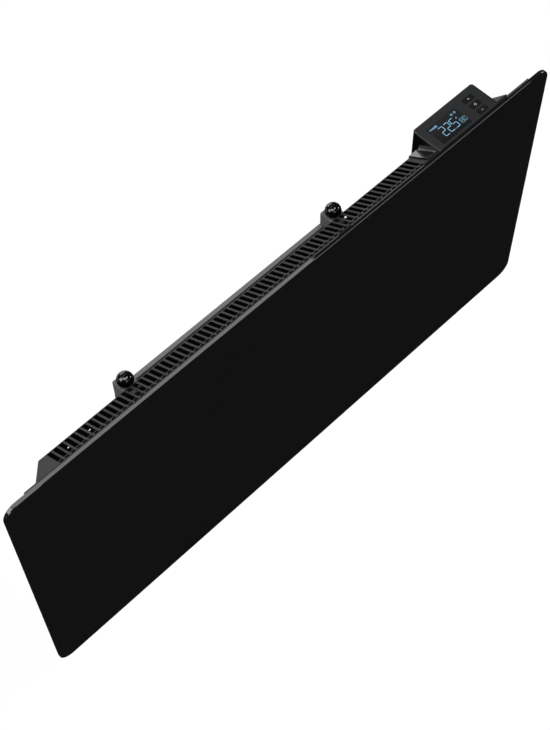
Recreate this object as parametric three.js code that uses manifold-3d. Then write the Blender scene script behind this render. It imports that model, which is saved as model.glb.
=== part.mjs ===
// Wall panel convector heater: a black glass front on a slotted sheet-steel casing, a control
// unit set into the casing's top right corner, and a wall bracket with two quarter-turn locks.
//
// Sizes are millimetres. The heater is drawn with X to the right, Y towards the wall and Z up,
// from the middle of the glass's front face. At the end the whole group is moved so that the
// origin lies on the wall, in the middle of the bracket's top rail.

import * as THREE from "three";
import { mergeGeometries, mergeVertices } from "three/addons/utils/BufferGeometryUtils.js";
import Module from "manifold-3d";

const wasm = await Module();
wasm.setup();

// ---------------------------------------------------------------- driving dimensions

// Gaps.
const SEAT = 0.2; // between a piece and the one that carries it
const RUN = 0.3; // round a piece that moves
const PAST = 1; // a cutting tool past the face it cuts, a joined solid into its neighbour

// Glass front.
const GLASS_WIDTH = 890;
const GLASS_HEIGHT = 450;
const GLASS_THICKNESS = 5;
const GLASS_CORNER = 20;
const GLASS_CHAMFER = 0.8;

// Bonding tape between the glass and the casing's flange.
const TAPE_THICKNESS = 0.6;
const TAPE_WIDTH = 12;

// Casing: a tray of folded sheet whose four walls lean inwards towards the wall.
const SHEET = 1.2;
const CASING_DEPTH = 28.8; // from the flange to the rear face
const CASING_LEFT_INSET = 50.4; // glass edge to the tray, at the flange
const CASING_RIGHT_INSET = 76.4;
const CASING_TOP_INSET = 1.6;
const TOP_LEAN = THREE.MathUtils.degToRad(54.8); // from the casing's depth
const SIDE_LEAN = THREE.MathUtils.degToRad(39.4);
const FLANGE_SIDE_INSET = 34; // glass edge to the flange's end
const LIP = 16; // flange inside the tray

// Air slots, measured along the depth from the flange.
const SLOT_PITCH = 8.3;
const SLOT_WIDTH = 5.2;
const SLOT_MARGIN = 13.8; // tray's rear corner to the first slot
const SHORT_SLOT_START = 0.25;
const SHORT_SLOT_LENGTH = 2.4;
const SLOT_BAR = 3.55; // between the short row and the long row
const LONG_SLOT_LENGTH = 21.3;

// Small round holes in the rear wall.
const REAR_HOLE_RADIUS = 2.2;
const REAR_HOLE_SPACING = 31;
const REAR_HOLE_INSET = 39.5; // from the rear face's left edge
const REAR_HOLE_DROP = 19.8; // from the rear face's top edge

// Heat shield behind the glass, on four posts.
const SHIELD_GAP = 2.8; // flange to the shield
const SHIELD_SHEET = 0.8;
const SHIELD_LIP = 8;
const SHIELD_MARGIN = 36; // inside the rear face's edges
const POST_RADIUS = 4;
const POST_INSET = 22; // inside the shield's edges

// Finned heating element.
const ELEMENT_INSET = 42; // inside the shield's ends
const ELEMENT_DROP = 95; // below the glass's middle
const ELEMENT_HUB = 6;
const ELEMENT_ROD = 4;
const ELEMENT_WEB_HEIGHT = 56;
const ELEMENT_WEB = 1.6;
const FIN_COUNT = 10;
const FIN_REACH = 8;
const FIN_THICKNESS = 1.2;
const ROD_END = 26; // rod beyond the fins
const SUPPORT_OFFSET = 6; // fins to the support plate
const SUPPORT_HEIGHT = 44;
const SUPPORT_FOOT = 14;
const BUSH_RADIUS = 7;
const BUSH_LENGTH = 14;

// Thermal cut-out and room sensor, on the rear wall inside.
const CUTOUT_RADIUS = 8;
const CUTOUT_HEIGHT = 6;
const CUTOUT_RISE = 46; // above the element
const SENSOR_WIDTH = 16;
const SENSOR_HEIGHT = 10;
const SENSOR_DEPTH = 8;
const SENSOR_INSET = 40; // from the rear face's right and bottom edges

// Control housing and the saddle that laps over the casing.
const HOUSING_WIDTH = 109.2;
const HOUSING_INSET = 14.9; // casing's front right corner to the housing
const HOUSING_STANDOUT = 15.4; // behind the casing's rear face
const HOUSING_HEIGHT = 57;
const HOUSING_WALL = 2;
const HOUSING_CORNER = 4;
const HOUSING_FRONT_GAP = 1.2; // flange to the housing
const SADDLE_REACH = 18.5; // left of the housing
const SADDLE_THICKNESS = 1.8;
const SADDLE_DEPTH = 58; // below the glass's top edge
const COVE_RADIUS = 6.2;

// Control cover with its window and three keys.
const COVER_THICKNESS = 1.6;
const COVER_RISE = 0.3; // above the glass's top edge
const COVER_CROWN = 3; // width of the rim that falls away at the sides and the rear
const COVER_CROWN_DROP = 0.9;
const COVER_CROWN_STEPS = 2;
const COVER_POST = 2.5;
const COVER_POST_INSET = 8;
const WINDOW_INSET = 12; // from the cover's left front corner
const WINDOW_SETBACK = 4;
const WINDOW_WIDTH = 51.6;
const WINDOW_DEPTH = 30.4;
const WINDOW_THICKNESS = 1.3;
const WINDOW_SINK = 0.1;
const KEY_INSET = 22.6; // from the cover's right edge to the keys' middle
const KEY_SETBACK = 7.3; // from the cover's front edge to the first key's middle
const KEY_PITCH = 12;
const KEY_WIDTH = 16.4;
const KEY_DEPTH = 7.8;
const KEY_CORNER = 1.2;
const KEY_PROUD = 0.2;
const KEY_RIM = 1.2;
const KEY_RIM_THICKNESS = 1.1;
const KEY_TRAVEL = 0.6;
const STEM_RADIUS = 1.5;
const STEM_LENGTH = 3.2;

// Boards and what they carry.
const BOARD_THICKNESS = 1.6;
const BOARD_DROP = 7; // below the cover
const BOARD_GAP = 1; // round a board, inside the housing
const SWITCH_SIDE = 6;
const SWITCH_HEIGHT = 3.5;
const SWITCH_BORE_DEPTH = 2.5;
const MODULE_MARGIN = 2.6;
const FLOOR_BOSS_HEIGHT = 6;
const FLOOR_BOSS_RADIUS = 3;
const RELAY_WIDTH = 28;
const RELAY_DEPTH = 12;
const RELAY_HEIGHT = 16;
const TERMINAL_WIDTH = 32;
const TERMINAL_DEPTH = 14;
const TERMINAL_HEIGHT = 12;
const TERMINAL_FLOOR = 2;
const TERMINAL_WAYS = 3;
const TERMINAL_WAY = 6;
const INLET_RADIUS = 4.4;
const INLET_BORE = 3.3;
const INLET_FLANGE = 0.8;
const INLET_COLLAR = 2;
const INLET_INSET = 18;

// Wall bracket.
const WALL_GAP = 22.5; // casing's rear face to the wall
const BRACKET_OFFSET = -66.5; // from the glass's middle
const LOCK_SPACING = 335.8;
const RAIL_THICKNESS = 5.6;
const RAIL_HEIGHT = 26;
const RAIL_DROP = 50.5; // glass's top edge to the top rail's top
const LEG_LENGTH = 318; // from the top rail's top to the bottom rail's foot
const POCKET_COUNT = 6;
const POCKET_WIDTH = 34;
const POCKET_WALL = 2;
const SCREW_SLOT_LENGTH = 10;
const SCREW_SLOT_WIDTH = 5.2;
const SCREW_SLOT_INSET = 20;

// Lower hooks on the legs.
const HOOK_WIDTH = 16;
const HOOK_ARM = 3;
const HOOK_TIP = 2.5;
const HOOK_TIP_RISE = 8;
const HOOK_CLEAR = 0.5; // tip to the casing's rear wall
const HOOK_LIFT = 14; // above the bottom rail

// Locks: a hood on each leg, with a ball knob that turns a latch.
const HOOD_WIDTH = 22;
const HOOD_DEPTH = 21.9;
const HOOD_RISE = 20.8; // above the top rail
const HOOD_DROP = 8.3; // below the top rail's top
const HOOD_WALL = 2;
const HOOD_TOP = 2.5;
const HOOD_CORNER = 1;
const KNOB_RADIUS = 10.4;
const KNOB_SINK = 4.4; // ball's underside cut off
const KNOB_AXIS_FROM_WALL = 11.5;
const SHAFT_RADIUS = 3.5;
const SHAFT_END = 1.5; // below the latch
const LATCH_REACH = 16.5;
const LATCH_WIDTH = 7;
const LATCH_HUB = 6.2;
const LATCH_THICKNESS = 2.4;
const LATCH_LIP = 2.4; // thickness of the lip that hooks behind the casing's rear wall
const LATCH_LIP_DROP = 3; // below the latch
const LATCH_CLEAR = 0.8; // round the latch in the casing and the hood

// Smoothness of round forms.
const ARC_STEPS = 6;
const ROUND_STEPS = 20;

// ---------------------------------------------------------------- places worked out from them

const glassTop = GLASS_HEIGHT / 2;
const flangeFront = GLASS_THICKNESS + TAPE_THICKNESS + 2 * SEAT;
const flangeRear = flangeFront + SHEET;
const casingRear = flangeRear + CASING_DEPTH;
const casingInside = casingRear - SHEET;
const casingTop = glassTop - CASING_TOP_INSET;
const casingLeft = -GLASS_WIDTH / 2 + CASING_LEFT_INSET;
const casingRight = GLASS_WIDTH / 2 - CASING_RIGHT_INSET;
const topRun = 1 / Math.tan(TOP_LEAN); // drop of the sloping top for each millimetre of depth
const sideRun = Math.tan(SIDE_LEAN);
const rearTop = casingTop - CASING_DEPTH * topRun;
const rearLeft = casingLeft + CASING_DEPTH * sideRun;
const rearRight = casingRight - CASING_DEPTH * sideRun;

const housingRight = casingRight - HOUSING_INSET;
const housingLeft = housingRight - HOUSING_WIDTH;
const housingFront = flangeRear + HOUSING_FRONT_GAP;
const housingRear = casingRear + HOUSING_STANDOUT;
const coverTop = glassTop + COVER_RISE;
const coverUnder = coverTop - COVER_THICKNESS;
const coverFront = GLASS_THICKNESS + RUN;
const housingTop = coverUnder - SEAT;
const housingBottom = housingTop - HOUSING_HEIGHT;
const housingFloor = housingBottom + HOUSING_WALL;
const saddleLeft = housingLeft - SADDLE_REACH;
const boardTop = coverUnder - BOARD_DROP;
const keyX = housingRight - KEY_INSET;
const keyYs = [2, 1, 0].map((row) => coverFront + KEY_SETBACK + row * KEY_PITCH);
const rimUnder = coverUnder - RUN - KEY_RIM_THICKNESS;
const inletX = housingRight - INLET_INSET;
const inletY = (casingRear + housingRear - HOUSING_WALL) / 2;

const wallY = casingRear + WALL_GAP;
const bracketFront = wallY - RAIL_THICKNESS;
const railTop = glassTop - RAIL_DROP;
const railMiddle = railTop - RAIL_HEIGHT / 2;
const legBottom = railTop - LEG_LENGTH;
const lockXs = [BRACKET_OFFSET - LOCK_SPACING / 2, BRACKET_OFFSET + LOCK_SPACING / 2];
const hoodTop = railTop + HOOD_RISE;
const hoodBottom = railTop - HOOD_DROP;
const hoodFront = wallY - HOOD_DEPTH;
const lockY = wallY - KNOB_AXIS_FROM_WALL;
const latchTop = hoodTop - HOOD_TOP - RUN;
const latchUnder = latchTop - LATCH_THICKNESS;
const lipUnder = latchUnder - LATCH_LIP_DROP;
const hookTop = legBottom + RAIL_HEIGHT + HOOK_LIFT;

const shieldFront = flangeRear + SHIELD_GAP;
const shieldRear = shieldFront + SHIELD_SHEET;
const shieldLeft = rearLeft + SHIELD_MARGIN;
const shieldRight = rearRight - SHIELD_MARGIN;
const shieldBottom = -rearTop + SHIELD_MARGIN;
const shieldTop = housingBottom - SHIELD_MARGIN;
const elementX = (shieldLeft + shieldRight) / 2;
const elementHalf = (shieldRight - shieldLeft) / 2 - ELEMENT_INSET;
const elementY = (shieldRear + casingInside) / 2;
const elementZ = -ELEMENT_DROP;

// ---------------------------------------------------------------- solids

const AXIS_X = new THREE.Vector3(1, 0, 0);
const AXIS_Y = new THREE.Vector3(0, 1, 0);
const AXIS_Z = new THREE.Vector3(0, 0, 1);

function box(x0, x1, y0, y1, z0, z1) {
  const geometry = new THREE.BoxGeometry(x1 - x0, y1 - y0, z1 - z0);
  return geometry.translate((x0 + x1) / 2, (y0 + y1) / 2, (z0 + z1) / 2);
}

function extrude(shape, depth) {
  const options = { depth, bevelEnabled: false, curveSegments: ARC_STEPS };
  return new THREE.ExtrudeGeometry(shape, options);
}

// A shape drawn in Y and Z, run along X.
function alongX(shape, x0, x1) {
  const turn = new THREE.Matrix4().makeBasis(AXIS_Y, AXIS_Z, AXIS_X);
  return extrude(shape, x1 - x0).applyMatrix4(turn).translate(x0, 0, 0);
}

// A shape drawn in X and Z, run along Y.
function alongY(shape, y0, y1) {
  const turn = new THREE.Matrix4().makeBasis(AXIS_X, AXIS_Z, AXIS_Y.clone().negate());
  return extrude(shape, y1 - y0).applyMatrix4(turn).translate(0, y1, 0);
}

// A shape drawn in X and Y, run along Z.
function alongZ(shape, z0, z1) {
  return extrude(shape, z1 - z0).translate(0, 0, z0);
}

function outline(points) {
  return new THREE.Shape(points.map(([u, v]) => new THREE.Vector2(u, v)));
}

// A rectangle with its own radius at each corner: low-low, high-low, high-high, low-high.
function rounded(u0, u1, v0, v1, radii) {
  const [a, b, c, d] = Array.isArray(radii) ? radii : [radii, radii, radii, radii];
  const shape = new THREE.Shape();
  shape.moveTo(u0 + a, v0);
  shape.lineTo(u1 - b, v0);
  if (b > 0) shape.absarc(u1 - b, v0 + b, b, -Math.PI / 2, 0);
  shape.lineTo(u1, v1 - c);
  if (c > 0) shape.absarc(u1 - c, v1 - c, c, 0, Math.PI / 2);
  shape.lineTo(u0 + d, v1);
  if (d > 0) shape.absarc(u0 + d, v1 - d, d, Math.PI / 2, Math.PI);
  shape.lineTo(u0, v0 + a);
  if (a > 0) shape.absarc(u0 + a, v0 + a, a, Math.PI, 1.5 * Math.PI);
  return shape;
}

// A round bar about an axis in the direction of Z.
function barZ(x, y, radius, z0, z1) {
  const geometry = new THREE.CylinderGeometry(radius, radius, z1 - z0, ROUND_STEPS);
  return geometry.rotateX(Math.PI / 2).translate(x, y, (z0 + z1) / 2);
}

function barY(x, z, radius, y0, y1) {
  const geometry = new THREE.CylinderGeometry(radius, radius, y1 - y0, ROUND_STEPS);
  return geometry.translate(x, (y0 + y1) / 2, z);
}

function barX(y, z, radius, x0, x1) {
  const geometry = new THREE.CylinderGeometry(radius, radius, x1 - x0, ROUND_STEPS);
  return geometry.rotateZ(Math.PI / 2).translate((x0 + x1) / 2, y, z);
}

function solid(geometry) {
  if (geometry instanceof wasm.Manifold) return geometry;
  const bare = geometry.clone();
  bare.deleteAttribute("normal");
  bare.deleteAttribute("uv");
  const merged = mergeVertices(bare, 1e-4);
  return new wasm.Manifold(
    new wasm.Mesh({
      numProp: 3,
      vertProperties: new Float32Array(merged.attributes.position.array),
      triVerts: new Uint32Array(merged.index.array),
    }),
  );
}

function join(...pieces) {
  return pieces.map(solid).reduce((whole, piece) => whole.add(piece));
}

function cut(body, ...tools) {
  return tools.map(solid).reduce((rest, tool) => rest.subtract(tool), solid(body));
}

function common(a, b) {
  return solid(a).intersect(solid(b));
}

// Several tools that don't touch each other, as one.
function apart(geometries) {
  const bare = geometries.map((geometry) => {
    const copy = geometry.index ? geometry.toNonIndexed() : geometry.clone();
    copy.deleteAttribute("normal");
    copy.deleteAttribute("uv");
    return copy;
  });
  return mergeGeometries(bare);
}

function surface(body) {
  if (!(body instanceof wasm.Manifold)) return body;
  const mesh = body.getMesh();
  const geometry = new THREE.BufferGeometry();
  geometry.setAttribute("position", new THREE.BufferAttribute(mesh.vertProperties, 3));
  geometry.setIndex(new THREE.BufferAttribute(mesh.triVerts, 1));
  geometry.computeVertexNormals();
  return geometry;
}

const heater = new THREE.Group();

function place(name, body, finish) {
  const mesh = new THREE.Mesh(surface(body), new THREE.MeshStandardMaterial(finish));
  mesh.name = name;
  heater.add(mesh);
}

const BLACK_GLASS = { color: 0x0e0e10, roughness: 0.05, metalness: 0 };
const BLACK_FOAM = { color: 0x1b1b1b, roughness: 0.9, metalness: 0 };
const COATED_STEEL = { color: 0x3d3d3d, roughness: 0.6, metalness: 0.1 };
const BRACKET_COAT = { color: 0x6a6a6a, roughness: 0.6, metalness: 0.1 };
const BARE_ALUMINIUM = { color: 0xb9bcc0, roughness: 0.35, metalness: 1 };
const PLATED_STEEL = { color: 0x9aa0a6, roughness: 0.4, metalness: 1 };
const CERAMIC = { color: 0xe6e0d2, roughness: 0.5, metalness: 0 };
const HOUSING_PLASTIC = { color: 0x232425, roughness: 0.35, metalness: 0 };
const COVER_PLASTIC = { color: 0x2e3032, roughness: 0.45, metalness: 0 };
const KEY_PLASTIC = { color: 0x1c1e20, roughness: 0.5, metalness: 0 };
const SMOKED_WINDOW = { color: 0x1d1d1d, roughness: 0.08, metalness: 0 };
const BOARD_GREEN = { color: 0x1f5a3a, roughness: 0.5, metalness: 0 };
const PALE_PLASTIC = { color: 0xd9d9d4, roughness: 0.5, metalness: 0 };
const BLACK_GLOSS = { color: 0x080808, roughness: 0.08, metalness: 0 };
const RUBBER = { color: 0x151515, roughness: 0.85, metalness: 0 };

// ---------------------------------------------------------------- glass front and its tape

function glassPanel() {
  const half = GLASS_WIDTH / 2;
  const shape = rounded(-half, half, -glassTop, glassTop, GLASS_CORNER);
  const geometry = new THREE.ExtrudeGeometry(shape, {
    depth: GLASS_THICKNESS - 2 * GLASS_CHAMFER,
    bevelThickness: GLASS_CHAMFER,
    bevelSize: GLASS_CHAMFER,
    bevelOffset: -GLASS_CHAMFER,
    bevelSegments: 1,
    curveSegments: ARC_STEPS,
  });
  const turn = new THREE.Matrix4().makeBasis(AXIS_X, AXIS_Z, AXIS_Y.clone().negate());
  return geometry.applyMatrix4(turn).translate(0, GLASS_THICKNESS - GLASS_CHAMFER, 0);
}

function tapeStrip(x0, x1, z0, z1) {
  const front = GLASS_THICKNESS + SEAT;
  return box(x0, x1, front, front + TAPE_THICKNESS, z0, z1);
}

function addGlass() {
  place("glass_front_panel", glassPanel(), BLACK_GLASS);
  const z1 = casingTop - (LIP - TAPE_WIDTH) / 2;
  const z0 = z1 - TAPE_WIDTH;
  const left = casingLeft - TAPE_WIDTH / 2;
  const right = casingRight - TAPE_WIDTH / 2;
  place("glass_tape_top", tapeStrip(left, right + TAPE_WIDTH, z0, z1), BLACK_FOAM);
  place("glass_tape_bottom", tapeStrip(left, right + TAPE_WIDTH, -z1, -z0), BLACK_FOAM);
  const end = z0 - SEAT;
  place("glass_tape_left", tapeStrip(left, left + TAPE_WIDTH, -end, end), BLACK_FOAM);
  place("glass_tape_right", tapeStrip(right, right + TAPE_WIDTH, -end, end), BLACK_FOAM);
}

// ---------------------------------------------------------------- casing

// The leaning tray as a solid block from depth y0, its faces moved out by grow.
function trayBlock(grow, y0) {
  const y1 = casingRear + grow;
  const height = (y) => casingTop - (y - flangeRear) * topRun + grow / Math.sin(TOP_LEAN);
  const left = (y) => casingLeft + (y - flangeRear) * sideRun - grow / Math.cos(SIDE_LEAN);
  const right = (y) => casingRight - (y - flangeRear) * sideRun + grow / Math.cos(SIDE_LEAN);
  const side = outline([
    [y0, -height(y0)],
    [y1, -height(y1)],
    [y1, height(y1)],
    [y0, height(y0)],
  ]);
  const plan = outline([
    [left(y0), y0],
    [right(y0), y0],
    [right(y1), y1],
    [left(y1), y1],
  ]);
  return common(
    alongX(side, -GLASS_WIDTH / 2, GLASS_WIDTH / 2),
    alongZ(plan, -glassTop, glassTop),
  );
}

function flange() {
  const half = GLASS_WIDTH / 2 - FLANGE_SIDE_INSET;
  const plate = box(-half, half, flangeFront, flangeRear + SHEET / 2, -casingTop, casingTop);
  const low = -casingTop + LIP;
  const mouth = box(casingLeft + LIP, casingRight - LIP, 0, casingRear, low, -low);
  const edge = box(-half, half, flangeRear, casingRear, -glassTop, glassTop);
  return cut(plate, mouth, edge);
}

// One slot of the grille, cut straight down through the sloping sheet.
function slotTool(x, start, length, side) {
  const y0 = flangeRear + start;
  const top = casingTop - start * topRun + SHEET;
  const foot = casingTop - (start + length) * topRun - 2 * SHEET;
  const [z0, z1] = side > 0 ? [foot, top] : [-top, -foot];
  return box(x - SLOT_WIDTH / 2, x + SLOT_WIDTH / 2, y0, y0 + length, z0, z1);
}

function slotRow(start, length, end, side) {
  const first = rearLeft + SLOT_MARGIN;
  const count = Math.floor((end - SLOT_PITCH - first) / SLOT_PITCH) + 1;
  const tools = [];
  for (let k = 0; k < count; k += 1) {
    tools.push(slotTool(first + k * SLOT_PITCH, start, length, side));
  }
  return apart(tools);
}

// A stepped window for a latch. The high part lets the latch swing through the rear wall; the
// low part lets its lip pass, and ends short of where the lip stands when the lock is shut.
function latchWindow(x) {
  const half = LATCH_WIDTH / 2;
  const right = Math.sqrt(LATCH_REACH ** 2 + half ** 2 - (lockY - casingRear) ** 2);
  const lipLeft = Math.sqrt((LATCH_REACH - LATCH_LIP) ** 2 - (lockY - casingInside) ** 2);
  const x0 = x - half - LATCH_CLEAR;
  const x1 = x + lipLeft - LATCH_CLEAR;
  const x2 = x + right + LATCH_CLEAR;
  const z1 = latchUnder - LATCH_CLEAR;
  const step = outline([
    [x0, latchTop + LATCH_CLEAR],
    [x0, z1],
    [x1, z1],
    [x1, lipUnder - LATCH_CLEAR],
    [x2, lipUnder - LATCH_CLEAR],
    [x2, latchTop + LATCH_CLEAR],
  ]);
  return alongY(step, casingInside - SHEET, casingRear + SHEET);
}

// Slots that hang on the bracket's lower hooks: the slot's top edge rests on the hook's arm.
function hookWindow(x) {
  const top = hookTop + SEAT;
  const height = HOOK_ARM + HOOK_TIP_RISE + 2 * HOOK_CLEAR;
  const half = HOOK_WIDTH / 2 + LATCH_CLEAR;
  return box(x - half, x + half, casingInside - SHEET, casingRear + SHEET, top - height, top);
}

function rearHoles() {
  const first = rearLeft + REAR_HOLE_INSET;
  const z = rearTop - REAR_HOLE_DROP;
  const xs = [first, first + REAR_HOLE_SPACING];
  const places = xs.flatMap((x) => [
    [x, z],
    [x, -z],
    [rearLeft + rearRight - x, -z],
  ]);
  return apart(
    places.map(([x, height]) =>
      barY(x, height, REAR_HOLE_RADIUS, casingInside - SHEET, casingRear + SHEET),
    ),
  );
}

function controlOpening() {
  return box(
    housingLeft - 2 * SEAT,
    housingRight + 2 * SEAT,
    flangeRear,
    housingRear,
    housingBottom - 2 * SEAT,
    glassTop,
  );
}

function rearCasing() {
  const shell = cut(trayBlock(0, flangeRear - SHEET / 2), trayBlock(-SHEET, flangeRear - SHEET));
  const skin = cut(shell, box(-GLASS_WIDTH, GLASS_WIDTH, 0, flangeRear, casingTop, glassTop));
  const lower = box(-GLASS_WIDTH, GLASS_WIDTH, 0, flangeRear, -glassTop, -casingTop);
  const body = join(cut(skin, lower), flange());
  const longStart = SHORT_SLOT_START + SHORT_SLOT_LENGTH + SLOT_BAR;
  return cut(
    body,
    slotRow(SHORT_SLOT_START, SHORT_SLOT_LENGTH, saddleLeft, 1),
    slotRow(longStart, LONG_SLOT_LENGTH, saddleLeft, 1),
    slotRow(longStart, LONG_SLOT_LENGTH, rearRight - SLOT_MARGIN, -1),
    ...lockXs.map(latchWindow),
    ...lockXs.map(hookWindow),
    rearHoles(),
    controlOpening(),
  );
}

// ---------------------------------------------------------------- inside the casing

function heatShield() {
  const profile = outline([
    [shieldFront, shieldBottom],
    [shieldFront + SHIELD_LIP, shieldBottom],
    [shieldFront + SHIELD_LIP, shieldBottom + SHIELD_SHEET],
    [shieldRear, shieldBottom + SHIELD_SHEET],
    [shieldRear, shieldTop - SHIELD_SHEET],
    [shieldFront + SHIELD_LIP, shieldTop - SHIELD_SHEET],
    [shieldFront + SHIELD_LIP, shieldTop],
    [shieldFront, shieldTop],
  ]);
  return alongX(profile, shieldLeft, shieldRight);
}

function addShield() {
  place("heat_shield", heatShield(), BARE_ALUMINIUM);
  const xs = [shieldLeft + POST_INSET, shieldRight - POST_INSET];
  const zs = [shieldTop - POST_INSET, shieldBottom + POST_INSET];
  const corners = zs.flatMap((z) => xs.map((x) => [x, z]));
  corners.forEach(([x, z], k) => {
    const post = barY(x, z, POST_RADIUS, shieldRear + SEAT, casingInside - SEAT);
    place(`shield_post_${k + 1}`, post, PLATED_STEEL);
  });
}

function heatingElement() {
  const web = ELEMENT_WEB / 2;
  const tall = ELEMENT_WEB_HEIGHT / 2;
  const x0 = elementX - elementHalf;
  const x1 = elementX + elementHalf;
  const pieces = [
    barX(elementY, elementZ, ELEMENT_HUB, x0, x1),
    barX(elementY, elementZ, ELEMENT_ROD, x0 - ROD_END, x1 + ROD_END),
    box(x0, x1, elementY - web, elementY + web, elementZ - tall, elementZ + tall),
  ];
  const pitch = (ELEMENT_WEB_HEIGHT - FIN_THICKNESS) / (FIN_COUNT - 1);
  for (let k = 0; k < FIN_COUNT; k += 1) {
    const z0 = elementZ - tall + k * pitch;
    const z1 = z0 + FIN_THICKNESS;
    pieces.push(box(x0, x1, elementY - FIN_REACH, elementY + FIN_REACH, z0, z1));
  }
  return join(...pieces);
}

// A support plate with a foot on the rear wall and a hole for the element's rod.
function elementSupport(side) {
  const x = elementX + side * (elementHalf + SUPPORT_OFFSET);
  const z0 = elementZ - SUPPORT_HEIGHT / 2;
  const z1 = elementZ + SUPPORT_HEIGHT / 2;
  const rear = casingInside - SEAT;
  const front = elementY - FIN_REACH;
  const plate = box(x - SHEET / 2, x + SHEET / 2, front, rear, z0, z1);
  const reach = [x - side * (SHEET / 2), x + side * SUPPORT_FOOT].sort((a, b) => a - b);
  const foot = box(reach[0], reach[1], rear - SHEET, rear, z0, z1);
  const hole = barX(elementY, elementZ, ELEMENT_ROD + RUN, x - SHEET, x + SHEET);
  return cut(join(plate, foot), hole);
}

function elementBush(side) {
  const plateFace = elementHalf + SUPPORT_OFFSET + SHEET / 2 + SEAT;
  const ends = [elementX + side * plateFace, elementX + side * (plateFace + BUSH_LENGTH)];
  const [x0, x1] = ends.sort((a, b) => a - b);
  const ring = barX(elementY, elementZ, BUSH_RADIUS, x0, x1);
  return cut(ring, barX(elementY, elementZ, ELEMENT_ROD + SEAT, x0 - SHEET, x1 + SHEET));
}

function addElement() {
  place("heating_element", heatingElement(), BARE_ALUMINIUM);
  [
    ["left", -1],
    ["right", 1],
  ].forEach(([word, side]) => {
    place(`element_support_${word}`, elementSupport(side), PLATED_STEEL);
    place(`element_bush_${word}`, elementBush(side), CERAMIC);
  });
}

function thermalCutout() {
  const z = elementZ + CUTOUT_RISE;
  const rear = casingInside - SEAT;
  const can = barY(elementX, z, CUTOUT_RADIUS, rear - CUTOUT_HEIGHT, rear);
  const tab = CUTOUT_RADIUS / 4;
  const reach = 2 * CUTOUT_RADIUS;
  const tabs = box(elementX - reach, elementX + reach, rear - SHEET, rear, z - tab, z + tab);
  return join(can, tabs);
}

function roomSensor() {
  const x1 = rearRight - SENSOR_INSET;
  const z0 = -rearTop + SENSOR_INSET;
  const shape = rounded(x1 - SENSOR_WIDTH, x1, z0, z0 + SENSOR_HEIGHT, SENSOR_HEIGHT / 3);
  const rear = casingInside - SEAT;
  return alongY(shape, rear - SENSOR_DEPTH, rear);
}

// ---------------------------------------------------------------- control unit

// The control unit's outline seen from above, with round corners at the rear.
function controlPlan(inset, front) {
  const left = housingLeft + inset;
  const right = housingRight - inset;
  const corner = HOUSING_CORNER - inset / 2;
  return rounded(left, right, front, housingRear - inset, [0, 0, corner, corner]);
}

// The lap over the casing's top, rear and right side, on a running gap.
function saddle() {
  const lap = cut(trayBlock(SEAT + SADDLE_THICKNESS, flangeRear + SEAT), trayBlock(SEAT, 0));
  const reach = box(saddleLeft, GLASS_WIDTH / 2, 0, wallY, glassTop - SADDLE_DEPTH, glassTop);
  return common(lap, reach);
}

// The hollow curve that leads from the saddle up into the housing's left wall.
function cove() {
  const shape = new THREE.Shape();
  shape.moveTo(0, 0);
  shape.absarc(0, COVE_RADIUS, COVE_RADIUS, -Math.PI / 2, 0);
  shape.lineTo(COVE_RADIUS + HOUSING_WALL / 2, COVE_RADIUS);
  shape.lineTo(COVE_RADIUS + HOUSING_WALL / 2, -SADDLE_THICKNESS / 2);
  shape.lineTo(0, -SADDLE_THICKNESS / 2);
  const length = CASING_DEPTH / Math.sin(TOP_LEAN);
  const down = new THREE.Vector3(0, Math.sin(TOP_LEAN), -Math.cos(TOP_LEAN));
  const up = new THREE.Vector3(0, Math.cos(TOP_LEAN), Math.sin(TOP_LEAN));
  const turn = new THREE.Matrix4().makeBasis(AXIS_X, up, AXIS_X.clone().cross(up));
  const lift = (SEAT + SADDLE_THICKNESS) / Math.sin(TOP_LEAN);
  const foot = new THREE.Vector3(housingLeft - COVE_RADIUS, flangeRear, casingTop + lift);
  const start = foot.addScaledVector(down, length);
  const geometry = extrude(shape, length).applyMatrix4(turn);
  const strip = geometry.translate(start.x, start.y, start.z);
  const room = box(0, GLASS_WIDTH / 2, flangeRear + SEAT, housingRear, 0, glassTop);
  return common(strip, room);
}

function controlHousing() {
  const block = alongZ(controlPlan(0, housingFront), housingBottom, housingTop);
  const inside = controlPlan(HOUSING_WALL, housingFront + HOUSING_WALL);
  const hollow = alongZ(inside, housingFloor, glassTop);
  const inlet = barZ(inletX, inletY, INLET_RADIUS, housingBottom - SEAT, housingFloor + SEAT);
  const keyRoom = KEY_WIDTH / 2 + KEY_RIM + RUN;
  const keySink = rimUnder - KEY_TRAVEL - RUN;
  const notchRear = housingFront + HOUSING_WALL + SEAT;
  const notch = box(keyX - keyRoom, keyX + keyRoom, flangeRear, notchRear, keySink, coverTop);
  const bosses = boardCorners().map(([bx, by]) =>
    barZ(bx, by, FLOOR_BOSS_RADIUS, housingFloor - SEAT, housingFloor + FLOOR_BOSS_HEIGHT),
  );
  const coverRoom = alongZ(controlPlan(-SEAT, coverFront - SEAT), housingTop, coverTop + PAST);
  const shell = cut(join(block, saddle(), cove()), hollow, inlet, notch, coverRoom);
  return join(shell, ...bosses);
}

function boardRoom() {
  const side = HOUSING_WALL + BOARD_GAP;
  return {
    x0: housingLeft + side,
    x1: housingRight - side,
    y0: housingFront + HOUSING_WALL + BOARD_GAP,
    y1: housingRear - HOUSING_WALL - BOARD_GAP,
  };
}

function boardCorners() {
  const { x0, x1, y0, y1 } = boardRoom();
  const inset = FLOOR_BOSS_RADIUS + BOARD_GAP;
  return [
    [x0 + inset, y0 + inset],
    [x1 - inset, y0 + inset],
    [x0 + inset, y1 - inset],
    [x1 - inset, y1 - inset],
  ];
}

function windowPlace() {
  const x0 = housingLeft + WINDOW_INSET;
  const y0 = coverFront + WINDOW_SETBACK;
  return { x0, x1: x0 + WINDOW_WIDTH, y0, y1: y0 + WINDOW_DEPTH };
}

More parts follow.
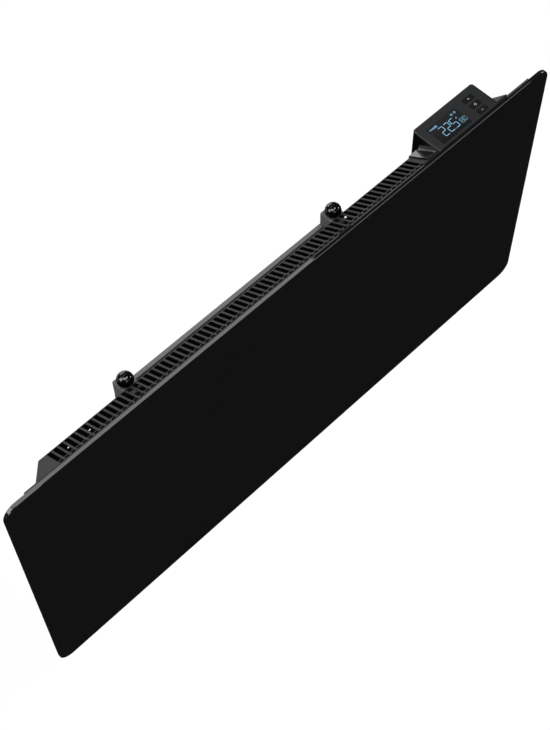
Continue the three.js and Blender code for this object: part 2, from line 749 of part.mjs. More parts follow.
function keyShape(y, grow) {
  const halfWidth = KEY_WIDTH / 2 + grow;
  const halfDepth = KEY_DEPTH / 2 + grow;
  return rounded(
    keyX - halfWidth,
    keyX + halfWidth,
    y - halfDepth,
    y + halfDepth,
    KEY_CORNER + grow,
  );
}

// The cover's plate. Its rim falls away at the sides and the rear; the front edge is full.
function coverPlate() {
  const shape = controlPlan(0, coverFront - 2 * COVER_CROWN);
  const crowned = new THREE.ExtrudeGeometry(shape, {
    depth: COVER_THICKNESS,
    bevelThickness: COVER_CROWN_DROP,
    bevelSize: COVER_CROWN,
    bevelOffset: -COVER_CROWN,
    bevelSegments: COVER_CROWN_STEPS,
    curveSegments: ARC_STEPS,
  });
  crowned.translate(0, 0, coverTop - COVER_CROWN_DROP - COVER_THICKNESS);
  const room = box(saddleLeft, GLASS_WIDTH / 2, coverFront, wallY, coverUnder, coverTop + PAST);
  return common(crowned, room);
}

function controlCover() {
  const { x0, x1, y0, y1 } = windowPlace();
  const low = coverUnder - PAST;
  const high = coverTop + PAST;
  const sill = box(x0 - SEAT, x1 + SEAT, y0 - SEAT, y1 + SEAT, low, high);
  const holes = keyYs.map((y) => alongZ(keyShape(y, RUN), low, high));
  const posts = boardCorners().map(([x, y]) =>
    barZ(x, y, COVER_POST, boardTop + SEAT, coverUnder + COVER_THICKNESS / 2),
  );
  return join(cut(coverPlate(), sill, ...holes), ...posts);
}

function displayWindow() {
  const { x0, x1, y0, y1 } = windowPlace();
  const top = coverTop - WINDOW_SINK;
  return box(x0, x1, y0, y1, top - WINDOW_THICKNESS, top);
}

function displayModule() {
  const { x0, x1, y0, y1 } = windowPlace();
  const under = coverTop - WINDOW_SINK - WINDOW_THICKNESS - SEAT;
  const front = Math.max(y0 + MODULE_MARGIN, boardRoom().y0);
  const left = x0 + MODULE_MARGIN;
  const right = x1 - MODULE_MARGIN;
  return box(left, right, front, y1 - MODULE_MARGIN, boardTop + SEAT, under);
}

function key(y) {
  const cap = alongZ(keyShape(y, 0), rimUnder, coverTop + KEY_PROUD);
  const half = KEY_WIDTH / 2 + KEY_RIM;
  const rim = box(
    keyX - half,
    keyX + half,
    y - KEY_DEPTH / 2,
    y + KEY_DEPTH / 2,
    rimUnder,
    rimUnder + KEY_RIM_THICKNESS,
  );
  const stem = barZ(keyX, stemY(y), STEM_RADIUS, rimUnder - STEM_LENGTH, rimUnder + SEAT);
  return join(cap, rim, stem);
}

// The key's stem stands over its switch, which has to clear the housing's front wall.
function stemY(y) {
  return Math.max(y, boardRoom().y0 + SWITCH_SIDE / 2);
}

function keySwitch(y) {
  const half = SWITCH_SIDE / 2;
  const z0 = boardTop + SEAT;
  const z1 = z0 + SWITCH_HEIGHT;
  const body = box(keyX - half, keyX + half, stemY(y) - half, stemY(y) + half, z0, z1);
  const bore = barZ(keyX, stemY(y), STEM_RADIUS + RUN, z1 - SWITCH_BORE_DEPTH, z1 + SEAT);
  return cut(body, bore);
}

function controlBoard() {
  const { x0, x1, y0, y1 } = boardRoom();
  return box(x0, x1, y0, y1, boardTop - BOARD_THICKNESS, boardTop);
}

const powerBoardUnder = housingFloor + FLOOR_BOSS_HEIGHT + SEAT;
const powerBoardTop = powerBoardUnder + BOARD_THICKNESS;

function powerBoard() {
  const { x0, x1, y0, y1 } = boardRoom();
  const board = box(x0, x1, y0, y1, powerBoardUnder, powerBoardTop);
  const room = INLET_RADIUS + INLET_FLANGE + BOARD_GAP;
  return cut(board, barZ(inletX, inletY, room, powerBoardUnder - PAST, powerBoardTop + PAST));
}

function relay() {
  const { x0, y0 } = boardRoom();
  const left = x0 + 4 * FLOOR_BOSS_RADIUS;
  const front = y0 + 4 * FLOOR_BOSS_RADIUS;
  const low = powerBoardTop + SEAT;
  return box(left, left + RELAY_WIDTH, front, front + RELAY_DEPTH, low, low + RELAY_HEIGHT);
}

function terminalBlock() {
  const { x0, x1, y0 } = boardRoom();
  const left = (x0 + x1) / 2;
  const rear = y0 + TERMINAL_DEPTH;
  const low = powerBoardTop + SEAT;
  const body = box(left, left + TERMINAL_WIDTH, y0, rear, low, low + TERMINAL_HEIGHT);
  const pitch = TERMINAL_WIDTH / TERMINAL_WAYS;
  const sill = low + TERMINAL_FLOOR;
  const mouths = [];
  for (let k = 0; k < TERMINAL_WAYS; k += 1) {
    const x = left + (k + 0.5) * pitch - TERMINAL_WAY / 2;
    const front = y0 + TERMINAL_DEPTH / 2;
    mouths.push(box(x, x + TERMINAL_WAY, front, rear + PAST, sill, sill + TERMINAL_WAY));
  }
  return cut(body, apart(mouths));
}

// A rubber bush in the housing's floor, where the supply cord enters.
function cordInlet() {
  const low = housingBottom - SEAT;
  const high = housingFloor + SEAT;
  const points = [
    [INLET_BORE, low - INLET_COLLAR],
    [INLET_RADIUS + INLET_FLANGE / 2, low - INLET_COLLAR],
    [INLET_RADIUS + INLET_FLANGE, low],
    [INLET_RADIUS - SEAT, low],
    [INLET_RADIUS - SEAT, high],
    [INLET_RADIUS + INLET_FLANGE, high],
    [INLET_RADIUS + INLET_FLANGE, high + INLET_COLLAR],
    [INLET_BORE, high + INLET_COLLAR],
    [INLET_BORE, low - INLET_COLLAR],
  ];
  const profile = points.map(([radius, height]) => new THREE.Vector2(radius, height));
  const ring = new THREE.LatheGeometry(profile, ROUND_STEPS);
  return ring.rotateX(Math.PI / 2).translate(inletX, inletY, 0);
}

function addControlUnit() {
  place("control_housing", controlHousing(), HOUSING_PLASTIC);
  place("control_cover", controlCover(), COVER_PLASTIC);
  place("display_window", displayWindow(), SMOKED_WINDOW);
  place("display_module", displayModule(), PALE_PLASTIC);
  place("control_board", controlBoard(), BOARD_GREEN);
  place("power_board", powerBoard(), BOARD_GREEN);
  place("relay", relay(), HOUSING_PLASTIC);
  place("terminal_block", terminalBlock(), PALE_PLASTIC);
  place("cord_inlet", cordInlet(), RUBBER);
  ["rear", "middle", "front"].forEach((word, row) => {
    place(`key_${word}`, key(keyYs[row]), KEY_PLASTIC);
    place(`key_switch_${word}`, keySwitch(keyYs[row]), PLATED_STEEL);
  });
}

// ---------------------------------------------------------------- wall bracket

// An upright screw slot, through the bracket along Y.
function screwSlot(x, z) {
  const half = SCREW_SLOT_WIDTH / 2;
  const tall = SCREW_SLOT_LENGTH / 2;
  const shape = rounded(x - half, x + half, z - tall, z + tall, half);
  return alongY(shape, bracketFront - PAST, wallY + PAST);
}

// A rail between the legs, hollowed from behind in two rows of pockets either side of its middle.
function rail(top) {
  const x0 = lockXs[0] + HOOD_WIDTH / 2 + SEAT;
  const x1 = lockXs[1] - HOOD_WIDTH / 2 - SEAT;
  const bar = box(x0, x1, bracketFront, wallY, top - RAIL_HEIGHT, top);
  const pitch = POCKET_WIDTH + POCKET_WALL;
  const pockets = [];
  for (let k = 0; k < POCKET_COUNT; k += 1) {
    const side = k % 2 ? 1 : -1;
    const x = BRACKET_OFFSET + side * (Math.floor(k / 2) + 1) * pitch;
    const [a, b] = [x - POCKET_WIDTH / 2, x + POCKET_WIDTH / 2];
    const floor = bracketFront + POCKET_WALL;
    const low = top - RAIL_HEIGHT + POCKET_WALL;
    pockets.push(box(a, b, floor, wallY + PAST, low, top - POCKET_WALL));
  }
  const z = top - RAIL_HEIGHT / 2;
  const slots = [screwSlot(x0 + SCREW_SLOT_INSET, z), screwSlot(x1 - SCREW_SLOT_INSET, z)];
  return cut(bar, apart(pockets), ...slots);
}

function leg(x) {
  const half = HOOD_WIDTH / 2;
  const strip = box(x - half, x + half, bracketFront, wallY, legBottom, hoodBottom - SEAT);
  const tipRear = casingInside - HOOK_CLEAR;
  const tipFront = tipRear - HOOK_TIP;
  const profile = outline([
    [bracketFront + PAST, hookTop - HOOK_ARM],
    [bracketFront + PAST, hookTop],
    [tipRear, hookTop],
    [tipRear, hookTop + HOOK_TIP_RISE],
    [tipFront, hookTop + HOOK_TIP_RISE],
    [tipFront, hookTop - HOOK_ARM],
  ]);
  const hook = alongX(profile, x - HOOK_WIDTH / 2, x + HOOK_WIDTH / 2);
  return join(strip, hook);
}

// A hood open towards the casing and downwards, with a hole for the knob's shaft and a side
// window that the latch swings through.
function lockHood(x) {
  const half = HOOD_WIDTH / 2;
  const inner = half - HOOD_WALL;
  const plan = rounded(x - half, x + half, hoodFront, wallY, HOOD_CORNER);
  const room = box(
    x - inner,
    x + inner,
    hoodFront - PAST,
    wallY - HOOD_TOP,
    hoodBottom - PAST,
    hoodTop - HOOD_TOP,
  );
  const hole = barZ(x, lockY, SHAFT_RADIUS + RUN, hoodTop - 2 * HOOD_TOP, hoodTop + PAST);
  const window = box(
    x + inner - PAST,
    x + half + PAST,
    hoodFront - PAST,
    lockY + LATCH_WIDTH / 2 + LATCH_CLEAR,
    lipUnder - LATCH_CLEAR,
    hoodTop - HOOD_TOP,
  );
  return cut(alongZ(plan, hoodBottom, hoodTop), room, hole, window);
}

// A ball on a shaft; the ball's underside is cut flat just above the hood.
function lockKnob(x) {
  const under = hoodTop + RUN;
  const shaftEnd = latchUnder - SHAFT_END;
  const centre = under + KNOB_RADIUS - KNOB_SINK;
  const start = Math.asin((under - centre) / KNOB_RADIUS);
  const profile = [
    new THREE.Vector2(0, shaftEnd),
    new THREE.Vector2(SHAFT_RADIUS, shaftEnd),
    new THREE.Vector2(SHAFT_RADIUS, under),
  ];
  const steps = 2 * ARC_STEPS;
  for (let k = 0; k < steps; k += 1) {
    const angle = start + ((Math.PI / 2 - start) * k) / steps;
    const radius = KNOB_RADIUS * Math.cos(angle);
    profile.push(new THREE.Vector2(radius, centre + KNOB_RADIUS * Math.sin(angle)));
  }
  profile.push(new THREE.Vector2(0, centre + KNOB_RADIUS));
  const ball = new THREE.LatheGeometry(profile, ROUND_STEPS);
  return ball.rotateX(Math.PI / 2).translate(x, lockY, 0);
}

// A latch with a hub on the shaft, and a finger whose lip turns down behind the casing's wall.
function lockLatch(x) {
  const half = LATCH_WIDTH / 2;
  const tip = lockY - LATCH_REACH;
  return cut(
    join(
      box(x - half, x + half, tip, lockY, latchUnder, latchTop),
      box(x - half, x + half, tip, tip + LATCH_LIP, lipUnder, latchTop),
      barZ(x, lockY, LATCH_HUB, latchUnder, latchTop),
    ),
    barZ(x, lockY, SHAFT_RADIUS + SEAT, latchUnder - PAST, latchTop + PAST),
  );
}

function addBracket() {
  place("bracket_top_rail", rail(railTop), BRACKET_COAT);
  place("bracket_bottom_rail", rail(legBottom + RAIL_HEIGHT), BRACKET_COAT);
  ["left", "right"].forEach((word, k) => {
    const x = lockXs[k];
    place(`bracket_leg_${word}`, leg(x), BRACKET_COAT);
    place(`lock_hood_${word}`, lockHood(x), BRACKET_COAT);
    place(`lock_knob_${word}`, lockKnob(x), BLACK_GLOSS);
    place(`lock_latch_${word}`, lockLatch(x), PLATED_STEEL);
  });
}

// ---------------------------------------------------------------- the whole heater

addGlass();
place("rear_casing", rearCasing(), COATED_STEEL);
addShield();
addElement();
place("thermal_cutout", thermalCutout(), PLATED_STEEL);
place("room_sensor", roomSensor(), PALE_PLASTIC);
addControlUnit();
addBracket();
heater.position.set(-BRACKET_OFFSET, -wallY, -railMiddle);

export default heater;
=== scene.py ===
"""Looks of a wall panel convector heater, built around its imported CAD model.

Sizes in the dataclasses are millimetres, apart from the studio's cards and lamps, which are in
metres. Blender's own units are metres, in the CAD's frame: X to the right, Y into the wall, Z up,
with the origin on the wall behind the top rail.
"""

import logging
import math
from dataclasses import dataclass, field
from enum import Enum

import bmesh
import bpy
from mathutils import Matrix, Vector

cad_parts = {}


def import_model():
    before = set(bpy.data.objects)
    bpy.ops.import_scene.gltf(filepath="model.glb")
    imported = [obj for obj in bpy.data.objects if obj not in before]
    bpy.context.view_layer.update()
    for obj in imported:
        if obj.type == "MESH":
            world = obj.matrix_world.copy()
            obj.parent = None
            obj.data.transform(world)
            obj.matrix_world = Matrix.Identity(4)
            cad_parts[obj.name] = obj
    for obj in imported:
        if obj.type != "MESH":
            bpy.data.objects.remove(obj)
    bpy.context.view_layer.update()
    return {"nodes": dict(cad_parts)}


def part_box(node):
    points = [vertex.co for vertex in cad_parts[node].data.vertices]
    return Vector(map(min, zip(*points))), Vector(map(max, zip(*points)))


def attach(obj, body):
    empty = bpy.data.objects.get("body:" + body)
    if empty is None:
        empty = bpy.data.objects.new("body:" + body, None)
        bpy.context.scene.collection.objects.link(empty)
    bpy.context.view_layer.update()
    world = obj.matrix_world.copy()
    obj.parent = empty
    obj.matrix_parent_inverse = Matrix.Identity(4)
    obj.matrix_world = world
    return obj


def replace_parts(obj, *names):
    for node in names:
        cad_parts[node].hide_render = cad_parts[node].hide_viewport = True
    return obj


LOG = logging.getLogger("heater")
MM = 0.001
MERGE = 1e-6  # metres within which two corners are one
PARALLEL = 0.999  # a direction's share along an axis from which it counts as parallel
FLAT = 1.0  # faces that meet within this angle, in degrees, are one flat
SHARP = 40.0  # edges sharper than this, in degrees, are rounded


# ---------------------------------------------------------------- colour and nodes


def linear(code: str) -> tuple[float, float, float, float]:
    """Turn an sRGB hex colour into the linear colour that a shader takes.

    Args:
        code: six hex digits, such as "3d3d3d".

    Returns:
        Linear red, green and blue, and an alpha of 1.
    """
    channels = [int(code[k : k + 2], 16) / 255 for k in (0, 2, 4)]
    bent = [c / 12.92 if c <= 0.04045 else ((c + 0.055) / 1.055) ** 2.4 for c in channels]
    return (bent[0], bent[1], bent[2], 1.0)


def add_node(
    tree: bpy.types.NodeTree,
    kind: str,
    settings: dict[str, object] | None = None,
    inputs: dict[str | int, object] | None = None,
) -> bpy.types.Node:
    """Add a node with its settings and its inputs.

    Args:
        tree: the node tree that gets it.
        kind: the node's type, without its "ShaderNode" prefix.
        settings: attributes of the node.
        inputs: values by socket; an output socket given as a value is linked.

    Returns:
        The new node.
    """
    node = tree.nodes.new("ShaderNode" + kind)
    for name, value in (settings or {}).items():
        setattr(node, name, value)
    for socket, value in (inputs or {}).items():
        if isinstance(value, bpy.types.NodeSocket):
            tree.links.new(value, node.inputs[socket])
        else:
            node.inputs[socket].default_value = value
    return node


def new_material(name: str) -> bpy.types.Material:
    """Make a material with an empty node tree.

    Args:
        name: the material's name.

    Returns:
        The material.
    """
    material = bpy.data.materials.new(name)
    material.use_nodes = True
    material.node_tree.nodes.clear()
    return material


# ---------------------------------------------------------------- finishes


@dataclass(frozen=True)
class Finish:
    """A surface finish: its colour, its gloss and the grain that its making leaves.

    Attributes:
        name: the real material or finish.
        colour: its colour, as sRGB hex.
        shade: the slightly darker colour that it drifts to in soft clouds.
        roughness: its mean roughness.
        metallic: 1 for bare metal.
        specular: the strength of its gloss; 0.5 is that of plain varnish.
        grain: the size of its surface grain.
        depth: how deep the grain is.
        cloud: the size of the clouds of colour.
        stretch: how the pattern is scaled along each axis.
        unevenness: how far the roughness strays from its mean.
        relief: the share of the grain's depth that shows.
    """

    name: str
    colour: str
    shade: str
    roughness: float
    metallic: float = 0.0
    specular: float = 0.5
    grain: float = 0.6
    depth: float = 0.01
    cloud: float = 60.0
    stretch: tuple[float, float, float] = (1.0, 1.0, 1.0)
    unevenness: float = 0.05
    relief: float = 0.6

    def material(self) -> bpy.types.Material:
        """Build the finish as a node material, once.

        Returns:
            The material.
        """
        found = bpy.data.materials.get(self.name)
        if found:
            return found
        material = new_material(self.name)
        tree = material.node_tree
        place = add_node(tree, "TexCoord").outputs["Object"]
        along = add_node(tree, "Mapping", inputs={"Vector": place, "Scale": self.stretch})
        cloud = add_node(
            tree,
            "TexNoise",
            inputs={
                "Vector": along.outputs["Vector"],
                "Scale": 1 / (self.cloud * MM),
                "Detail": 3.0,
            },
        )
        grain = add_node(
            tree,
            "TexNoise",
            inputs={
                "Vector": along.outputs["Vector"],
                "Scale": 1 / (self.grain * MM),
                "Detail": 2.0,
            },
        )
        colour = add_node(
            tree,
            "Mix",
            {"data_type": "RGBA"},
            {
                0: cloud.outputs["Fac"],
                6: linear(self.colour),
                7: linear(self.shade),
            },
        )
        rough = add_node(
            tree,
            "MapRange",
            inputs={
                "Value": grain.outputs["Fac"],
                "To Min": max(0.0, self.roughness - self.unevenness),
                "To Max": self.roughness + self.unevenness,
            },
        )
        bump = add_node(
            tree,
            "Bump",
            inputs={
                "Height": grain.outputs["Fac"],
                "Strength": self.relief,
                "Distance": self.depth * MM,
            },
        )
        shader = add_node(
            tree,
            "BsdfPrincipled",
            inputs={
                "Base Color": colour.outputs[2],
                "Roughness": rough.outputs["Result"],
                "Normal": bump.outputs["Normal"],
                "Metallic": self.metallic,
                "Specular IOR Level": self.specular,
            },
        )
        add_node(tree, "OutputMaterial", inputs={"Surface": shader.outputs["BSDF"]})
        return material


@dataclass(frozen=True)
class Glow:
    """A lit mark on the display: an even colour that gives a little light of its own.

    Attributes:
        name: the real material or finish.
        colour: the colour of its light, as sRGB hex.
        strength: how strongly it is lit.
        unlit: its colour when dark, as sRGB hex.
        cells: the number of light and dim cells in a metre.
        dim: how bright a dim cell is against a light one.
        roughness: the roughness of its face.
        specular: the strength of its gloss.
    """

    name: str
    colour: str
    strength: float
    unlit: str = "101416"
    cells: float = 900.0
    dim: float = 0.94
    roughness: float = 0.4
    specular: float = 0.1

    def material(self) -> bpy.types.Material:
        """Build the lit mark's material, once.

        Returns:
            The material.
        """
        found = bpy.data.materials.get(self.name)
        if found:
            return found
        material = new_material(self.name)
        tree = material.node_tree
        place = add_node(tree, "TexCoord").outputs["Object"]
        cells = add_node(tree, "TexNoise", inputs={"Vector": place, "Scale": self.cells})
        light = linear(self.colour)
        tint = add_node(
            tree,
            "Mix",
            {"data_type": "RGBA"},
            {
                0: cells.outputs["Fac"],
                6: light,
                7: tuple(self.dim * c for c in light[:3]) + (1.0,),
            },
        )
        shader = add_node(
            tree,
            "BsdfPrincipled",
            inputs={
                "Base Color": linear(self.unlit),
                "Emission Color": tint.outputs[2],
                "Emission Strength": self.strength,
                "Roughness": self.roughness,
                "Specular IOR Level": self.specular,
            },
        )
        add_node(tree, "OutputMaterial", inputs={"Surface": shader.outputs["BSDF"]})
        return material


# Back-printed float glass: a polished face over black ceramic ink, nearly black from the front.
BLACK_GLASS = Finish(
    "back_printed_float_glass", "121213", "0f0f10", 0.03, specular=0.3, grain=40, depth=0.002,
    cloud=260, unevenness=0.005,
)
# Epoxy-polyester powder coat on steel: satin, with a fine orange peel.
CASING_COAT = Finish(
    "satin_powder_coat_graphite", "2d2d2d", "292929", 0.6, specular=0.12, grain=0.9,
    depth=0.03, cloud=90,
)
# Near-black: the heat shield's primer, and painted shade on the casing's inside and on the walls of
# its punched slots.
PRIMER_AND_SLOT_SHADE = Finish("black_primer_and_painted_slot_shade", "060606", "040404", 0.7, specular=0.15, grain=1.5, depth=0.02)
# The same kind of powder coat in mid grey, on the bracket.
BRACKET_COAT = Finish(
    "satin_powder_coat_grey", "6c6c6c", "626262", 0.55, specular=0.35, grain=0.9,
    depth=0.03, cloud=90,
)
# Injection-moulded ABS from a polished tool: a soft gloss that shows the light's edge.
HOUSING_PLASTIC = Finish(
    "polished_abs_black", "0d0d0e", "0a0a0b", 0.22, specular=0.4, grain=1.2, depth=0.004,
    cloud=50, unevenness=0.03,
)
# The same ABS from a spark-eroded tool: an even fine texture that scatters the light.
COVER_PLASTIC = Finish(
    "textured_abs_slate", "17191b", "141618", 0.38, specular=0.4, grain=0.35, depth=0.01,
    cloud=40,
)
# Silicone keypad rubber with a dull rubbed face.
KEY_PLASTIC = Finish(
    "keypad_silicone_black", "070809", "050608", 0.6, specular=0.15, grain=0.3, depth=0.01,
    cloud=12,
)
# Smoked acrylic over the display: polished, dark, slightly grey from the cell under it.
SMOKED_WINDOW = Finish(
    "smoked_acrylic", "111112", "0e0e0f", 0.12, specular=0.2, grain=8, depth=0.002,
    cloud=30, unevenness=0.02,
)
# Polished phenolic, as on machine knobs: deep black with hard bright reflections.
KNOB_GLOSS = Finish(
    "polished_phenolic_black", "030303", "020202", 0.02, specular=0.3, grain=3, depth=0.001,
    cloud=8, unevenness=0.01,
)
# Bright zinc plate on pressed steel: a cool, slightly cloudy metal.
PLATED_STEEL = Finish(
    "bright_zinc_plate", "b6babd", "a4a9ad", 0.32, metallic=1.0, grain=0.7, depth=0.006,
    cloud=14,
)
# Mill-finish aluminium, with drawing lines along its length.
MILL_ALUMINIUM = Finish(
    "mill_finish_aluminium", "bcbfc2", "aeb1b4", 0.36, metallic=1.0, grain=0.8, depth=0.01,
    cloud=30, stretch=(0.05, 1.0, 1.0),
)
# Closed-cell foam tape: dull and faintly pitted.
FOAM_TAPE = Finish("closed_cell_foam", "1b1b1b", "161616", 0.9, specular=0.2, grain=0.8, depth=0.1)
# Pressed steatite, fired: a chalky off-white.
STEATITE = Finish("fired_steatite", "e6e0d2", "dcd5c5", 0.5, grain=0.5, depth=0.03, cloud=10)
# Glass-epoxy board under green solder mask.
BOARD = Finish("solder_mask_green", "1f5a3a", "1a4d31", 0.35, grain=1.5, depth=0.01, cloud=15)
# Uncoloured nylon, as used for connectors and light boxes.
PALE_NYLON = Finish("natural_nylon", "d9d9d4", "cfcfc9", 0.45, grain=0.6, depth=0.01, cloud=20)
# Moulded chloroprene rubber.
RUBBER = Finish("moulded_rubber", "161616", "121212", 0.8, specular=0.25, grain=0.6, depth=0.03)
# Pad-printed ink on the keys: a thin dull grey.
LEGEND_INK = Finish("pad_print_grey", "a4aaaf", "9ca2a7", 0.6, specular=0.2, grain=0.2, depth=0.002)
# The display's lit segments, and its slightly weaker small marks.
DIGIT_GLOW = Glow("display_segment_blue", "8fcbea", 1.15)
ICON_GLOW = Glow("display_icon_blue", "86c0de", 0.95)

# The finish by the start of a node's name. The first match counts: key_switch comes before key_.
NODE_FINISHES: dict[str, Finish] = {
    "glass_tape": FOAM_TAPE,
    "rear_casing": CASING_COAT,
    "heat_shield": PRIMER_AND_SLOT_SHADE,
    "shield_post": PLATED_STEEL,
    "heating_element": MILL_ALUMINIUM,
    "element_support": PLATED_STEEL,
    "element_bush": STEATITE,
    "thermal_cutout": PLATED_STEEL,
    "room_sensor": PALE_NYLON,
    "control_housing": HOUSING_PLASTIC,
    "control_cover": COVER_PLASTIC,
    "display_window": SMOKED_WINDOW,
    "display_module": PALE_NYLON,
    "control_board": BOARD,
    "power_board": BOARD,
    "relay": HOUSING_PLASTIC,
    "terminal_block": PALE_NYLON,
    "cord_inlet": RUBBER,
    "key_switch": PLATED_STEEL,
    "key_": KEY_PLASTIC,
    "bracket_": BRACKET_COAT,
    "lock_hood": BRACKET_COAT,
    "lock_knob": KNOB_GLOSS,
    "lock_latch": PLATED_STEEL,
    "glass_front": BLACK_GLASS,
}


# ---------------------------------------------------------------- mesh helpers


def new_object(name: str, data: bpy.types.ID) -> bpy.types.Object:
    """Make an object and put it into the scene.

    Args:
        name: the object's name.
        data: its mesh, lamp or camera.

    Returns:
        The object.
    """
    made = bpy.data.objects.new(name, data)
    bpy.context.scene.collection.objects.link(made)
    return made


def mesh_object(mesh: bmesh.types.BMesh, name: str) -> bpy.types.Object:
    """Turn a bmesh into an object of the scene.

    Args:
        mesh: the bmesh; it is freed.
        name: the name of the object and its mesh.

    Returns:
        The object.
    """
    data = bpy.data.meshes.new(name)
    mesh.to_mesh(data)
    mesh.free()
    return new_object(name, data)


def finished(
    mesh: bmesh.types.BMesh,
    name: str,
    finish: Finish | Glow,
    body: str,
    smooth: float | None = None,
) -> bpy.types.Object:
    """Turn a bmesh into a piece that rides on a body.

    Args:
        mesh: the piece in metres, in the CAD's frame; it is freed.
        name: the piece's name.
        finish: what it is dressed in.
        body: the CAD body that carries it.
        smooth: faces that meet under this angle in degrees are shaded as one.

    Returns:
        The new object.
    """
    bmesh.ops.remove_doubles(mesh, verts=mesh.verts, dist=MERGE)
    bmesh.ops.recalc_face_normals(mesh, faces=mesh.faces)
    if smooth is not None:
        limit = math.radians(smooth)
        for face in mesh.faces:
            face.smooth = True
        for edge in mesh.edges:
            edge.smooth = edge.calc_face_angle(math.pi) < limit
    piece = mesh_object(mesh, name)
    piece.data.materials.append(finish.material())
    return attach(piece, body)


def slab(
    mesh: bmesh.types.BMesh, low: tuple[float, float, float], high: tuple[float, float, float]
) -> None:
    """Add a box to a bmesh.

    Args:
        mesh: the bmesh that gets it.
        low: its lowest corner in metres.
        high: its highest corner in metres.
    """
    size = Vector(high) - Vector(low)
    middle = (Vector(high) + Vector(low)) / 2
    place = Matrix.Translation(middle) @ Matrix.Diagonal((*size, 1.0))
    bmesh.ops.create_cube(mesh, size=1.0, matrix=place)


def bevel_edges(
    mesh: bmesh.types.BMesh, edges: list[bmesh.types.BMEdge], width: float, segments: int
) -> None:
    """Round the given edges.

    Args:
        mesh: the bmesh that holds them.
        edges: the edges to round.
        width: the bevel's width in metres.
        segments: its number of faces.
    """
    bmesh.ops.bevel(
        mesh,
        geom=edges,
        offset=width,
        offset_type="OFFSET",
        segments=segments,
        profile=0.5,
        affect="EDGES",
        material=-1,
    )


def edges_along(mesh: bmesh.types.BMesh, axis: int) -> list[bmesh.types.BMEdge]:
    """List the edges that run along one axis.

    Args:
        mesh: the bmesh to look in.
        axis: 0, 1 or 2 for X, Y or Z.

    Returns:
        The edges.
    """
    found = []
    for edge in mesh.edges:
        way = (edge.verts[1].co - edge.verts[0].co).normalized()
        if abs(way[axis]) > PARALLEL:
            found.append(edge)
    return found


def soften(piece: bpy.types.Object, width: float) -> None:
    """Round a piece's edges with modifiers, leaving its mesh as it is.

    Args:
        piece: a CAD node's object or a piece of the scene.
        width: the rounding's width in millimetres.
    """
    weld = piece.modifiers.new("weld", "WELD")
    weld.merge_threshold = MERGE
    flat = piece.modifiers.new("flat", "DECIMATE")
    flat.decimate_type = "DISSOLVE"
    flat.angle_limit = math.radians(FLAT)
    round_off = piece.modifiers.new("round", "BEVEL")
    round_off.width = width * MM
    round_off.segments = 2
    round_off.limit_method = "ANGLE"
    round_off.angle_limit = math.radians(SHARP)


def merged_copy(node: str) -> bmesh.types.BMesh:
    """Copy a CAD node's mesh and merge its loose triangles.

    Args:
        node: the CAD node's name.

    Returns:
        The copy.
    """
    mesh = bmesh.new()
    mesh.from_mesh(bpy.data.objects[node].data)
    bmesh.ops.remove_doubles(mesh, verts=mesh.verts, dist=MERGE)
    mesh.normal_update()
    return mesh


def ring(
    mesh: bmesh.types.BMesh,
    centre: tuple[float, float, float],
    radius: float,
    width: float,
    thickness: float,
    gap: float = 0.0,
    steps: int = 28,
) -> None:
    """Add a flat ring, or an arc of one that is open at the rear.

    Args:
        mesh: the bmesh that gets it.
        centre: the middle of its underside, in metres.
        radius: its outer radius in metres.
        width: the width of its line in metres.
        thickness: its thickness in metres.
        gap: the angle that is left open, in degrees.
        steps: the number of faces round it.
    """
    x, y, z = centre
    start = math.radians(90 + gap / 2)
    sweep = math.radians(360 - gap)
    corners = [
        mesh.verts.new((x + reach * math.cos(start), y + reach * math.sin(start), height))
        for reach, height in (
            (radius - width, z),
            (radius, z),
            (radius, z + thickness),
            (radius - width, z + thickness),
        )
    ]
    face = mesh.faces.new(corners)
    closed = gap == 0.0
    geometry = bmesh.ops.spin(
        mesh,
        geom=[face],
        cent=(x, y, z),
        axis=(0.0, 0.0, 1.0),
        angle=sweep,
        steps=steps,
        use_merge=closed,
    )
    if closed:
        inner = [f for f in geometry["geom_last"] if isinstance(f, bmesh.types.BMFace)]
        if face.is_valid:
            inner.append(face)
        bmesh.ops.delete(mesh, geom=inner, context="FACES_ONLY")


# ---------------------------------------------------------------- casing


